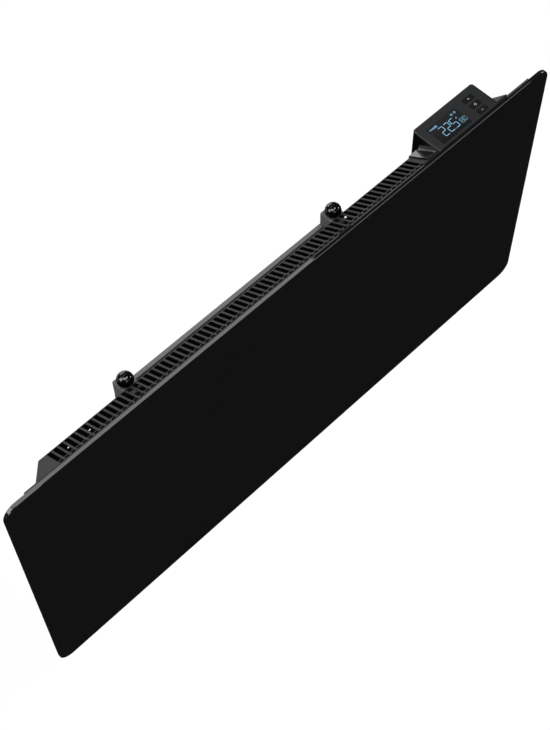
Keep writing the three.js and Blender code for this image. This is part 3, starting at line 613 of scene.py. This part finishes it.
@dataclass
class Casing:
    """The slotted casing: its CAD node with the slots opened to the width that the photo shows.

    Attributes:
        widen: how far the long walls of a slot move outwards.
        slope: the angle between the sloping sheet and the wall behind the heater, in degrees.
        first_row: the depth that every slot lies behind.
        last_row: the depth that every slot lies before.
        above: the height over which the top slots lie.
        below: the height under which the bottom slots lie.
        sheet: a depth just behind the flange; what faces forwards behind it is the inside, which
            gets painted shade.
        rounding: the width of the rounded edges.
        ends: for each end of the slots that moves, its depth and how far it moves to the rear.
        near: how close to one of those depths a corner has to be.
        forwards: how far a face's normal leans to the front where the face looks forwards.
    """

    widen: float = 0.2
    slope: float = 54.8
    first_row: float = -51.1
    last_row: float = -23.75
    above: float = 35.0
    below: float = -360.0
    sheet: float = -51.4
    rounding: float = 0.15
    ends: tuple[tuple[float, float], ...] = ((-51.05, -0.15), (-48.65, 0.55), (-45.1, -0.8))
    near: float = 0.02
    forwards: float = 0.05

    def slot_wall(self, face: bmesh.types.BMFace) -> bool:
        """Tell whether a face is the wall of an air slot.

        Args:
            face: a face of the casing.

        Returns:
            True if it is.
        """
        if max(abs(face.normal.x), abs(face.normal.y)) < PARALLEL:
            return False
        depths = [v.co.y / MM for v in face.verts]
        heights = [v.co.z / MM for v in face.verts]
        slotted = min(heights) > self.above or max(heights) < self.below
        return slotted and min(depths) > self.first_row and max(depths) < self.last_row

    def open_slots(self, walls: list[bmesh.types.BMFace]) -> None:
        """Move the slots' walls outwards, along the sheet.

        Args:
            walls: the walls' faces.
        """
        shifts: dict[bmesh.types.BMVert, Vector] = {}
        for face in walls:
            for vertex in face.verts:
                shift = shifts.setdefault(vertex, Vector((0.0, 0.0, 0.0)))
                if abs(face.normal.x) > PARALLEL:
                    shift.x = -math.copysign(self.widen * MM, face.normal.x)
                for depth, step in self.ends:
                    if abs(vertex.co.y / MM - depth) < self.near:
                        fall = step / math.tan(math.radians(self.slope))
                        shift.y = step * MM
                        shift.z = -math.copysign(fall * MM, vertex.co.z)
        for vertex, shift in shifts.items():
            vertex.co += shift

    def build(self) -> bpy.types.Object:
        """Build the casing over its CAD node, coated outside, with painted shade on its inside and
        on its slots' walls.

        Returns:
            The casing.
        """
        mesh = merged_copy("rear_casing")
        walls = [face for face in mesh.faces if self.slot_wall(face)]
        self.open_slots(walls)
        # Painted shade: the inside's forward faces and the slots' walls take the near-black second
        # material.
        for face in mesh.faces:
            behind = face.calc_center_median().y > self.sheet * MM
            face.material_index = int(behind and face.normal.y < -self.forwards)
        for face in walls:
            face.material_index = 1
        casing = finished(mesh, "casing", CASING_COAT, "heater")
        casing.data.materials.append(PRIMER_AND_SLOT_SHADE.material())
        soften(casing, self.rounding)
        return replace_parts(casing, "rear_casing")


# ---------------------------------------------------------------- glass front


@dataclass
class GlassFront:
    """The black glass with rounded corners and a polished, bevelled edge.

    Attributes:
        corner: the radius of its corners.
        edge: the width of the bevel along its edges.
        corner_faces: the number of faces round a corner.
        edge_faces: the number of faces across the bevel.
        rim: edges sharper than this, in degrees, are bevelled.
        smooth: faces that meet under this angle, in degrees, are shaded as one.
    """

    corner: float = 20.0
    edge: float = 0.5
    corner_faces: int = 20
    edge_faces: int = 1
    rim: float = 60.0
    smooth: float = 20.0

    def build(self) -> bpy.types.Object:
        """Build the glass over its CAD node.

        Returns:
            The glass.
        """
        low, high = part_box("glass_front_panel")
        mesh = bmesh.new()
        slab(mesh, tuple(low), tuple(high))
        bevel_edges(mesh, edges_along(mesh, 1), self.corner * MM, self.corner_faces)
        rim = [e for e in mesh.edges if e.calc_face_angle(0.0) > math.radians(self.rim)]
        bevel_edges(mesh, rim, self.edge * MM, self.edge_faces)
        glass = finished(mesh, "glass_front", BLACK_GLASS, "heater", self.smooth)
        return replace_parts(glass, "glass_front_panel")


# ---------------------------------------------------------------- lock knobs


@dataclass
class LockKnob:
    """A ball knob on its shaft, turned as one piece.

    Attributes:
        side: "left" or "right".
        shaft: the shaft's radius.
        chamfer: the width of the chamfer at the shaft's foot.
        steps: the number of faces round the ball.
        rows: the number of faces from its flat to its top.
        smooth: faces that meet under this angle, in degrees, are shaded as one.
    """

    side: str
    shaft: float = 3.5
    chamfer: float = 0.4
    steps: int = 64
    rows: int = 28
    smooth: float = 35.0

    def build(self) -> bpy.types.Object:
        """Turn the knob's profile about the shaft.

        Returns:
            The knob.
        """
        node = f"lock_knob_{self.side}"
        low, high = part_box(node)
        centre = (low + high) / 2
        radius = (high.x - low.x) / 2
        ball = high.z - radius
        shaft, chamfer = self.shaft * MM, self.chamfer * MM
        under = ball - math.sqrt(radius**2 - self.flat_radius(node, ball, radius) ** 2)
        start = math.asin(max(-1.0, (under - ball) / radius))
        mesh = bmesh.new()
        profile = [(0.0, low.z), (shaft - chamfer, low.z), (shaft, low.z + chamfer)]
        profile.append((shaft, under))
        for k in range(self.rows + 1):
            angle = start + (math.pi / 2 - start) * k / self.rows
            profile.append((radius * math.cos(angle), ball + radius * math.sin(angle)))
        points = [
            mesh.verts.new((centre.x + reach, centre.y, height)) for reach, height in profile
        ]
        edges = [mesh.edges.new(pair) for pair in zip(points, points[1:])]
        bmesh.ops.spin(
            mesh,
            geom=points + edges,
            cent=(centre.x, centre.y, 0.0),
            axis=(0.0, 0.0, 1.0),
            angle=2 * math.pi,
            steps=self.steps,
            use_merge=True,
        )
        knob = finished(mesh, f"{node}_ball", KNOB_GLOSS, f"{self.side}_lock", self.smooth)
        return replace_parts(knob, node)

    def flat_radius(self, node: str, ball: float, radius: float) -> float:
        """Measure where the ball is cut flat underneath.

        Args:
            node: the CAD node of the knob.
            ball: the height of the ball's centre.
            radius: the ball's radius.

        Returns:
            The radius of the flat.
        """
        low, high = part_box(node)
        centre = (low + high) / 2
        vertices = bpy.data.objects[node].data.vertices
        reach = [
            math.hypot(v.co.x - centre.x, v.co.y - centre.y)
            for v in vertices
            if v.co.z < ball - 0.5 * radius
        ]
        return max(reach)


# ---------------------------------------------------------------- display


class Segment(Enum):
    """The bars of a seven-segment digit, as (across, up, upright) in digit units."""

    TOP = (0.5, 1.0, False)
    UPPER_RIGHT = (1.0, 0.75, True)
    LOWER_RIGHT = (1.0, 0.25, True)
    BOTTOM = (0.5, 0.0, False)
    LOWER_LEFT = (0.0, 0.25, True)
    UPPER_LEFT = (0.0, 0.75, True)
    MIDDLE = (0.5, 0.5, False)


S = Segment
DIGITS: dict[str, tuple[Segment, ...]] = {
    "0": (S.TOP, S.UPPER_RIGHT, S.LOWER_RIGHT, S.BOTTOM, S.LOWER_LEFT, S.UPPER_LEFT),
    "1": (S.UPPER_RIGHT, S.LOWER_RIGHT),
    "2": (S.TOP, S.UPPER_RIGHT, S.MIDDLE, S.LOWER_LEFT, S.BOTTOM),
    "5": (S.TOP, S.UPPER_LEFT, S.MIDDLE, S.LOWER_RIGHT, S.BOTTOM),
    "8": tuple(Segment),
}


@dataclass
class Display:
    """The lit numbers and marks, which stand as thin bars on the control cover's window.

    Attributes:
        lift: how far they stand off the window's face.
        thickness: their thickness.
        digit_width: the main number's size across a digit.
        digit_height: its size from front to rear.
        digit_gap: the space between its digits.
        bar: the width of its bars.
        nick: what a bar is cut short by at its ends, in widths of the bar.
        main_left: from the window's left edge to the main number.
        front: from the window's front edge to both numbers.
        small_right: from the small number's start to the window's right edge.
        small_scale: the small number's size against the main one's.
        small_bar: the width of its bars against the main one's.
        levels: how many level bars there are.
        level_left: from the window's left edge to the middle of the first level bar.
        level_pitch: from one level bar to the next.
        level_rear: from the window's rear edge to the middle of the level bars.
        level_width: the width of a level bar.
        level_least: the length of the first level bar.
        level_rise: how much longer each next one is.
        sign_insets: from the window's right edge to the middle of each ringed sign.
        sign_rear: from the window's rear edge to their middle.
        sign_radius: their outer radius.
        sign_line: the width of their lines.
        sign_stroke: the length of the stroke inside.
        drop_inset: from the window's right edge to the middle of the small ring.
        drop_rear: from the window's rear edge to its middle.
        drop_radius: its outer radius.
        drop_line: the width of its line.
    """

    lift: float = 0.03
    thickness: float = 0.05
    digit_width: float = 7.2
    digit_height: float = 15.6
    digit_gap: float = 2.2
    bar: float = 0.8
    nick: float = 0.9
    main_left: float = 11.4
    front: float = 6.0
    small_right: float = 13.6
    small_scale: float = 0.5
    small_bar: float = 0.55
    levels: int = 5
    level_left: float = 3.2
    level_pitch: float = 2.6
    level_rear: float = 4.4
    level_width: float = 1.6
    level_least: float = 1.4
    level_rise: float = 0.5
    sign_insets: tuple[float, float] = (11.0, 5.4)
    sign_rear: float = 5.2
    sign_radius: float = 1.6
    sign_line: float = 0.5
    sign_stroke: float = 1.8
    drop_inset: float = 10.2
    drop_rear: float = 12.8
    drop_radius: float = 1.2
    drop_line: float = 0.4

    def bar_at(
        self, mesh: bmesh.types.BMesh, x: float, y: float, width: float, depth: float, z: float
    ) -> None:
        """Add one flat bar.

        Args:
            mesh: the bmesh that gets it.
            x: its middle across, in metres.
            y: its middle from front to rear, in metres.
            width: its size across, in metres.
            depth: its size from front to rear, in metres.
            z: the height that it lies on, in metres.
        """
        low = (x - width / 2, y - depth / 2, z)
        high = (x + width / 2, y + depth / 2, z + self.thickness * MM)
        slab(mesh, low, high)

    def number(
        self,
        mesh: bmesh.types.BMesh,
        text: str,
        corner: tuple[float, float, float],
        scale: float = 1.0,
        bar_scale: float = 1.0,
    ) -> None:
        """Add a number in seven-segment digits.

        Args:
            mesh: the bmesh that gets it.
            text: digits and at most one point.
            corner: the number's front left corner on the window, in metres.
            scale: its size against the main number.
            bar_scale: the width of its bars against the main number's.
        """
        x, y, z = corner
        width = self.digit_width * scale * MM
        height = self.digit_height * scale * MM
        gap = self.digit_gap * scale * MM
        bar = self.bar * bar_scale * MM
        for sign in text:
            if sign == ".":
                self.bar_at(mesh, x - gap / 2, y + bar / 2, bar, bar, z)
                continue
            for segment in DIGITS[sign]:
                across, up, upright = segment.value
                cx = x + bar / 2 + across * (width - bar)
                cy = y + bar / 2 + up * (height - bar)
                nick = self.nick * bar
                run = (height - bar) / 2 - nick if upright else width - bar - nick
                size = (bar, run) if upright else (run, bar)
                self.bar_at(mesh, cx, cy, *size, z)
            x += width + gap

    def build(self) -> list[bpy.types.Object]:
        """Build the numbers and marks.

        Returns:
            The pieces.
        """
        low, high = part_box("display_window")
        z = high.z + self.lift * MM
        mesh = bmesh.new()
        front = low.y + self.front * MM
        self.number(mesh, "22.5", (low.x + self.main_left * MM, front, z))
        number = finished(mesh, "display_number", DIGIT_GLOW, "heater")
        mesh = bmesh.new()
        corner = (high.x - self.small_right * MM, front, z)
        self.number(mesh, "180", corner, self.small_scale, self.small_bar)
        self.marks(mesh, low, high, z)
        return [number, finished(mesh, "display_marks", ICON_GLOW, "heater")]

    def marks(self, mesh: bmesh.types.BMesh, low: Vector, high: Vector, z: float) -> None:
        """Add the small generic marks: level bars, two ringed signs and a small ring.

        Args:
            mesh: the bmesh that gets them.
            low: the window's lowest corner.
            high: the window's highest corner.
            z: the height that they lie on, in metres.
        """
        thickness = self.thickness * MM
        for k in range(self.levels):
            x = low.x + (self.level_left + self.level_pitch * k) * MM
            length = (self.level_least + self.level_rise * k) * MM
            y = high.y - self.level_rear * MM
            self.bar_at(mesh, x, y, self.level_width * MM, length, z)
        y = high.y - self.sign_rear * MM
        radius, line, stroke = (
            size * MM for size in (self.sign_radius, self.sign_line, self.sign_stroke)
        )
        upright, across = (high.x - inset * MM for inset in self.sign_insets)
        for x in (upright, across):
            ring(mesh, (x, y, z), radius, line, thickness)
        self.bar_at(mesh, upright, y, line, stroke, z)
        self.bar_at(mesh, across, y, stroke, line, z)
        drop = (high.x - self.drop_inset * MM, high.y - self.drop_rear * MM, z)
        ring(mesh, drop, self.drop_radius * MM, self.drop_line * MM, thickness)


# ---------------------------------------------------------------- keys


class Sign(Enum):
    """What is printed on a key."""

    PLUS = "plus"
    POWER = "power"
    MINUS = "minus"


@dataclass
class Key:
    """A flush key with a shallow dish and a printed sign.

    Attributes:
        place: "rear", "middle" or "front".
        sign: what is printed on it.
        line: the width of the sign's lines.
        reach: the length of its bars.
        ink: the ink's thickness.
        layer: how much thicker the bar that crosses another one is.
        bite: how far the ink reaches into the key.
        turn: the outer radius of the power sign's arc.
        gap: the angle at which it is open, in degrees.
        stem: the power sign's bar, from and to, towards the rear.
        sink: how much lower than its CAD node the key's top lies, so that the ink stays under it.
        top_band: corners this near to the top belong to it.
        rim: the width of the rim round the dish.
        dish: the dish's depth.
        rounding: the width of the rounded edges.
    """

    place: str
    sign: Sign
    line: float = 0.65
    reach: float = 2.8
    ink: float = 0.03
    layer: float = 0.002
    bite: float = 0.005
    turn: float = 1.7
    gap: float = 70.0
    stem: tuple[float, float] = (0.4, 2.2)
    sink: float = 0.06
    top_band: float = 0.01
    rim: float = 1.0
    dish: float = 0.15
    rounding: float = 0.25

    def cap(self) -> bpy.types.Object:
        """Build the key over its CAD node, with its dish.

        Returns:
            The key.
        """
        node = f"key_{self.place}"
        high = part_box(node)[1]
        mesh = merged_copy(node)
        bmesh.ops.dissolve_limit(
            mesh, angle_limit=math.radians(FLAT), verts=mesh.verts, edges=mesh.edges
        )
        for vertex in mesh.verts:
            if vertex.co.z > high.z - self.top_band * MM:
                vertex.co.z -= self.sink * MM
        top = max(mesh.faces, key=lambda face: face.calc_center_median().z)
        bmesh.ops.inset_individual(
            mesh, faces=[top], thickness=self.rim * MM, depth=-self.dish * MM
        )
        cap = finished(mesh, f"key_cap_{self.place}", KEY_PLASTIC, f"{self.place}_key")
        soften(cap, self.rounding)
        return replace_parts(cap, node)

    def legend(self) -> bpy.types.Object:
        """Print the sign on the key's face.

        Returns:
            The sign.
        """
        node = f"key_{self.place}"
        low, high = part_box(node)
        centre = (low + high) / 2
        top = high.z - (self.sink + self.dish + self.bite) * MM
        ink = self.ink * MM
        mesh = bmesh.new()
        long, thin = self.reach * MM / 2, self.line * MM / 2
        bars = {
            Sign.PLUS: [(long, thin), (thin, long)],
            Sign.MINUS: [(long, thin)],
            Sign.POWER: [],
        }[self.sign]
        for k, (across, along) in enumerate(bars):
            slab(
                mesh,
                (centre.x - across, centre.y - along, top),
                (centre.x + across, centre.y + along, top + ink + self.layer * MM * k),
            )
        if self.sign is Sign.POWER:
            middle = (centre.x, centre.y, top)
            ring(mesh, middle, self.turn * MM, self.line * MM, ink, self.gap)
            start, end = (centre.y + y * MM for y in self.stem)
            slab(mesh, (centre.x - thin, start, top), (centre.x + thin, end, top + ink))
        return finished(mesh, f"key_sign_{self.place}", LEGEND_INK, f"{self.place}_key")


# ---------------------------------------------------------------- carried-over CAD nodes


@dataclass
class CarriedParts:
    """The CAD nodes that keep their shape: each is dressed, and those in rounding get softened
    edges.

    Attributes:
        rounding: the width of the rounded edges, by node.
    """

    rounding: dict[str, float] = field(
        default_factory=lambda: {
            "control_cover": 0.25,
            "control_housing": 0.4,
            "lock_hood_left": 0.6,
            "lock_hood_right": 0.6,
            "bracket_top_rail": 0.25,
            "bracket_bottom_rail": 0.25,
            "bracket_leg_left": 0.4,
            "bracket_leg_right": 0.4,
        }
    )

    def dress(self, nodes: dict[str, bpy.types.Object]) -> None:
        """Give each CAD node its finish, and those in rounding their rounded edges.

        Args:
            nodes: the CAD's objects by node name.
        """
        for name, node in nodes.items():
            finish = next(f for prefix, f in NODE_FINISHES.items() if name.startswith(prefix))
            node.data.materials.clear()
            node.data.materials.append(finish.material())
            if name in self.rounding:
                soften(node, self.rounding[name])


# ---------------------------------------------------------------- studio


@dataclass(frozen=True)
class Card:
    """A flat studio card that only glossy surfaces see: bright paper or black velvet.

    Attributes:
        name: the card's name.
        centre: its middle.
        facing: the way that it faces.
        size: its width and height.
        strength: how bright it is.
    """

    name: str
    centre: tuple[float, float, float]
    facing: tuple[float, float, float]
    size: tuple[float, float]
    strength: float

    def build(self) -> bpy.types.Object:
        """Stand the card in the studio.

        Returns:
            The card.
        """
        turn = Vector(self.facing).to_track_quat("Z", "Y").to_matrix().to_4x4()
        size = Matrix.Diagonal((self.size[0] / 2, self.size[1] / 2, 1.0, 1.0))
        mesh = bmesh.new()
        place = Matrix.Translation(self.centre) @ turn @ size
        bmesh.ops.create_grid(mesh, x_segments=1, y_segments=1, size=1.0, matrix=place)
        card = mesh_object(mesh, self.name)
        card.visible_camera = False
        card.visible_diffuse = False
        card.visible_transmission = False
        card.visible_shadow = False
        material = new_material(self.name)
        tree = material.node_tree
        glow = add_node(
            tree, "Emission", inputs={"Color": linear("ffffff"), "Strength": self.strength}
        )
        add_node(tree, "OutputMaterial", inputs={"Surface": glow.outputs["Emission"]})
        card.data.materials.append(material)
        return card


CARDS: tuple[Card, ...] = (
    # Velvet all round keeps the black gloss black.
    Card("velvet_floor", (0.0, -3.0, -1.14), (0.0, 0.0, 1.0), (14.0, 10.0), 0.01),
    Card("velvet_left", (-6.0, 0.0, 2.0), (1.0, 0.0, 0.0), (14.0, 14.0), 0.1),
    Card("velvet_right", (6.0, 0.0, 2.0), (-1.0, 0.0, 0.0), (14.0, 14.0), 0.1),
    Card("velvet_front", (0.0, -6.0, 2.0), (0.0, 1.0, 0.0), (14.0, 14.0), 0.1),
    Card("velvet_rear", (0.0, 6.0, 2.0), (0.0, -1.0, 0.0), (14.0, 14.0), 0.15),
    Card("velvet_top", (0.0, 0.0, 6.0), (0.0, 0.0, -1.0), (14.0, 14.0), 0.06),
    # Paper over the glass's top edge, and a dimmer sheet over the control cover.
    Card("paper_overhead", (-0.306, 0.72, 1.66), (0.0, 0.0, -1.0), (2.4, 0.12), 6.2),
    Card("paper_over_cover", (1.5, 1.02, 1.66), (0.0, 0.0, -1.0), (0.9, 0.5), 1.2),
    # The bright spots in the ball knobs.
    Card("paper_front_low", (-0.5, -1.5, 0.92), (0.0, 1.0, -0.55), (0.9, 0.3), 6.0),
    Card("paper_left_far", (-1.1, 0.38, 0.72), (0.85, -0.35, -0.5), (0.75, 0.75), 10.0),
    Card("paper_left_near", (-0.45, -0.25, 1.0), (0.4, 0.3, -0.9), (0.8, 0.5), 10.0),
    Card("paper_right", (2.2, -1.25, -0.2), (-0.85, 0.5, 0.2), (0.75, 0.8), 16.0),
    # A pale wall behind, seen in the knobs and the glossy rims.
    Card("paper_rear", (1.1, 3.0, -0.15), (0.0, -1.0, 0.0), (2.4, 1.9), 2.6),
    Card("paper_rear_high", (1.75, 3.0, 1.25), (0.0, -1.0, 0.0), (1.1, 0.9), 2.6),
    # The thin lights along the glass's front and rear arris.
    Card("paper_front_arris", (1.89, -2.5, 1.253), (0.0, 1.0, 0.0), (1.145, 0.4), 4.8),
    Card("paper_rear_arris", (1.9, 2.4, -1.13), (0.0, 0.0, 1.0), (1.15, 0.4), 1.8),
)


@dataclass(frozen=True)
class SoftBox:
    """A rectangular lamp that faces the object.

    Attributes:
        name: the lamp's name.
        direction: from the object towards the lamp.
        distance: how far off it hangs.
        size: its width and height.
        watts: its power.
    """

    name: str
    direction: tuple[float, float, float]
    distance: float
    size: tuple[float, float]
    watts: float

    def build(self) -> bpy.types.Object:
        """Hang the lamp.

        Returns:
            The lamp.
        """
        data = bpy.data.lights.new(self.name, "AREA")
        data.shape = "RECTANGLE"
        data.size, data.size_y = self.size
        data.energy = self.watts
        lamp = new_object(self.name, data)
        way = Vector(self.direction).normalized()
        lamp.location = way * self.distance
        lamp.rotation_euler = (-way).to_track_quat("-Z", "Y").to_euler()
        return lamp


LAMPS: tuple[SoftBox, ...] = (
    SoftBox("top_box", (0.2, -0.36, 0.93), 2.4, (1.2, 0.7), 27.0),
    SoftBox("left_box", (-0.73, 0.02, 0.68), 2.4, (0.9, 0.9), 6.0),
    SoftBox("front_box", (-0.74, -0.67, 0.12), 2.4, (1.1, 0.5), 14.0),
    SoftBox("right_box", (0.88, -0.42, 0.25), 2.6, (0.5, 0.8), 20.0),
    SoftBox("rear_box", (0.1, 1.0, 0.45), 2.6, (1.6, 0.6), 16.0),
)


@dataclass
class Studio:
    """The camera, the floor and the lights.

    Attributes:
        eye: the camera's place, as worked out from the photograph.
        azimuth: how far it looks to the right of straight back, in degrees.
        elevation: how far it looks down, in degrees.
        lens: its focal length.
        sensor: the width of its sensor.
        shift: how far the picture is shifted, in widths of the picture.
        clip: the nearest and farthest distance that it sees, in metres.
        floor: the floor's height.
        floor_reach: half the floor's width, in metres.
        paper: the floor's own grey, which lights the object, as sRGB hex.
        faint: the grey that keeps the shadow in the white floor that the camera sees.
        glow: the light that lifts that floor to white.
        sky_level: the strength of the sky's light on the object.
    """

    eye: tuple[float, float, float] = (-624.05, -749.99, 1482.87)
    azimuth: float = 44.957
    elevation: float = 60.043
    lens: float = 72.94
    sensor: float = 36.0
    shift: tuple[float, float] = (-0.03593, 0.03386)
    clip: tuple[float, float] = (0.05, 60.0)
    floor: float = -1150.0
    floor_reach: float = 30.0
    paper: str = "e8e8e8"
    faint: str = "707070"
    glow: float = 0.85
    sky_level: float = 0.55

    def camera(self) -> bpy.types.Object:
        """Place the camera at the photograph's angle.

        Returns:
            The camera.
        """
        data = bpy.data.cameras.new("camera")
        data.sensor_width = self.sensor
        data.lens = self.lens
        data.shift_x, data.shift_y = self.shift
        data.clip_start, data.clip_end = self.clip
        camera = new_object("camera", data)
        camera.location = Vector(self.eye) * MM
        camera.rotation_euler = (
            math.radians(90 - self.elevation),
            0.0,
            math.radians(-self.azimuth),
        )
        bpy.context.scene.camera = camera
        return camera

    def backdrop(self) -> bpy.types.Object:
        """Lay a pale floor that shows white to the camera and keeps a soft shadow.

        Returns:
            The floor.
        """
        mesh = bmesh.new()
        bmesh.ops.create_grid(
            mesh,
            x_segments=1,
            y_segments=1,
            size=self.floor_reach,
            matrix=Matrix.Translation((0.0, 0.0, self.floor * MM)),
        )
        floor = mesh_object(mesh, "floor")
        material = new_material("pale_floor")
        tree = material.node_tree
        path = add_node(tree, "LightPath")
        seen = self.seen(tree, path)
        paper = add_node(tree, "BsdfDiffuse", inputs={"Color": linear(self.paper)})
        white = add_node(
            tree, "Emission", inputs={"Color": linear("ffffff"), "Strength": self.glow}
        )
        faint = add_node(tree, "BsdfDiffuse", inputs={"Color": linear(self.faint)})
        lit = add_node(
            tree,
            "AddShader",
            inputs={0: white.outputs["Emission"], 1: faint.outputs["BSDF"]},
        )
        mixed = add_node(
            tree,
            "MixShader",
            inputs={0: seen, 1: paper.outputs["BSDF"], 2: lit.outputs["Shader"]},
        )
        add_node(tree, "OutputMaterial", inputs={"Surface": mixed.outputs["Shader"]})
        floor.data.materials.append(material)
        return floor

    def seen(self, tree: bpy.types.NodeTree, path: bpy.types.Node) -> bpy.types.NodeSocket:
        """Add up the rays that show the background: the camera's and those of gloss and glass.

        Args:
            tree: the node tree.
            path: its Light Path node.

        Returns:
            A socket that is 1 for those rays and 0 for all others.
        """
        first = add_node(
            tree,
            "Math",
            {"operation": "MAXIMUM"},
            {0: path.outputs["Is Camera Ray"], 1: path.outputs["Is Glossy Ray"]},
        )
        both = add_node(
            tree,
            "Math",
            {"operation": "MAXIMUM"},
            {0: first.outputs[0], 1: path.outputs["Is Transmission Ray"]},
        )
        return both.outputs[0]

    def sky(self) -> None:
        """Surround the scene with a plain pale light, white where it is seen itself."""
        world = bpy.data.worlds.new("studio")
        bpy.context.scene.world = world
        world.use_nodes = True
        tree = world.node_tree
        tree.nodes.clear()
        path = add_node(tree, "LightPath")
        seen = self.seen(tree, path)
        strength = add_node(
            tree, "MapRange", inputs={"Value": seen, "To Min": self.sky_level, "To Max": 1.0}
        )
        glow = add_node(
            tree,
            "Background",
            inputs={"Color": linear("ffffff"), "Strength": strength.outputs["Result"]},
        )
        add_node(tree, "OutputWorld", inputs={"Surface": glow.outputs["Background"]})

    def build(self) -> None:
        """Set up the camera, the floor, the sky and the lamps."""
        self.camera()
        self.backdrop()
        self.sky()
        for lamp in LAMPS:
            lamp.build()
        for card in CARDS:
            card.build()
        bpy.context.scene.view_settings.view_transform = "Standard"


# ---------------------------------------------------------------- the whole heater


def main() -> None:
    """Build every piece in order and report it."""
    logging.basicConfig(level=logging.INFO, format="%(message)s")
    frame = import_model()
    Studio().build()
    LOG.info("studio: camera, floor and lamps")
    CarriedParts().dress(frame["nodes"])
    LOG.info("carried parts: %d nodes dressed", len(frame["nodes"]))
    LOG.info("casing: %s", Casing().build().name)
    LOG.info("glass front: %s", GlassFront().build().name)
    for side in ("left", "right"):
        LOG.info("lock knob: %s", LockKnob(side).build().name)
    for piece in Display().build():
        LOG.info("display: %s", piece.name)
    for place, sign in (("rear", Sign.PLUS), ("middle", Sign.POWER), ("front", Sign.MINUS)):
        key = Key(place, sign)
        LOG.info("key: %s and %s", key.cap().name, key.legend().name)


if __name__ == "__main__":
    main()
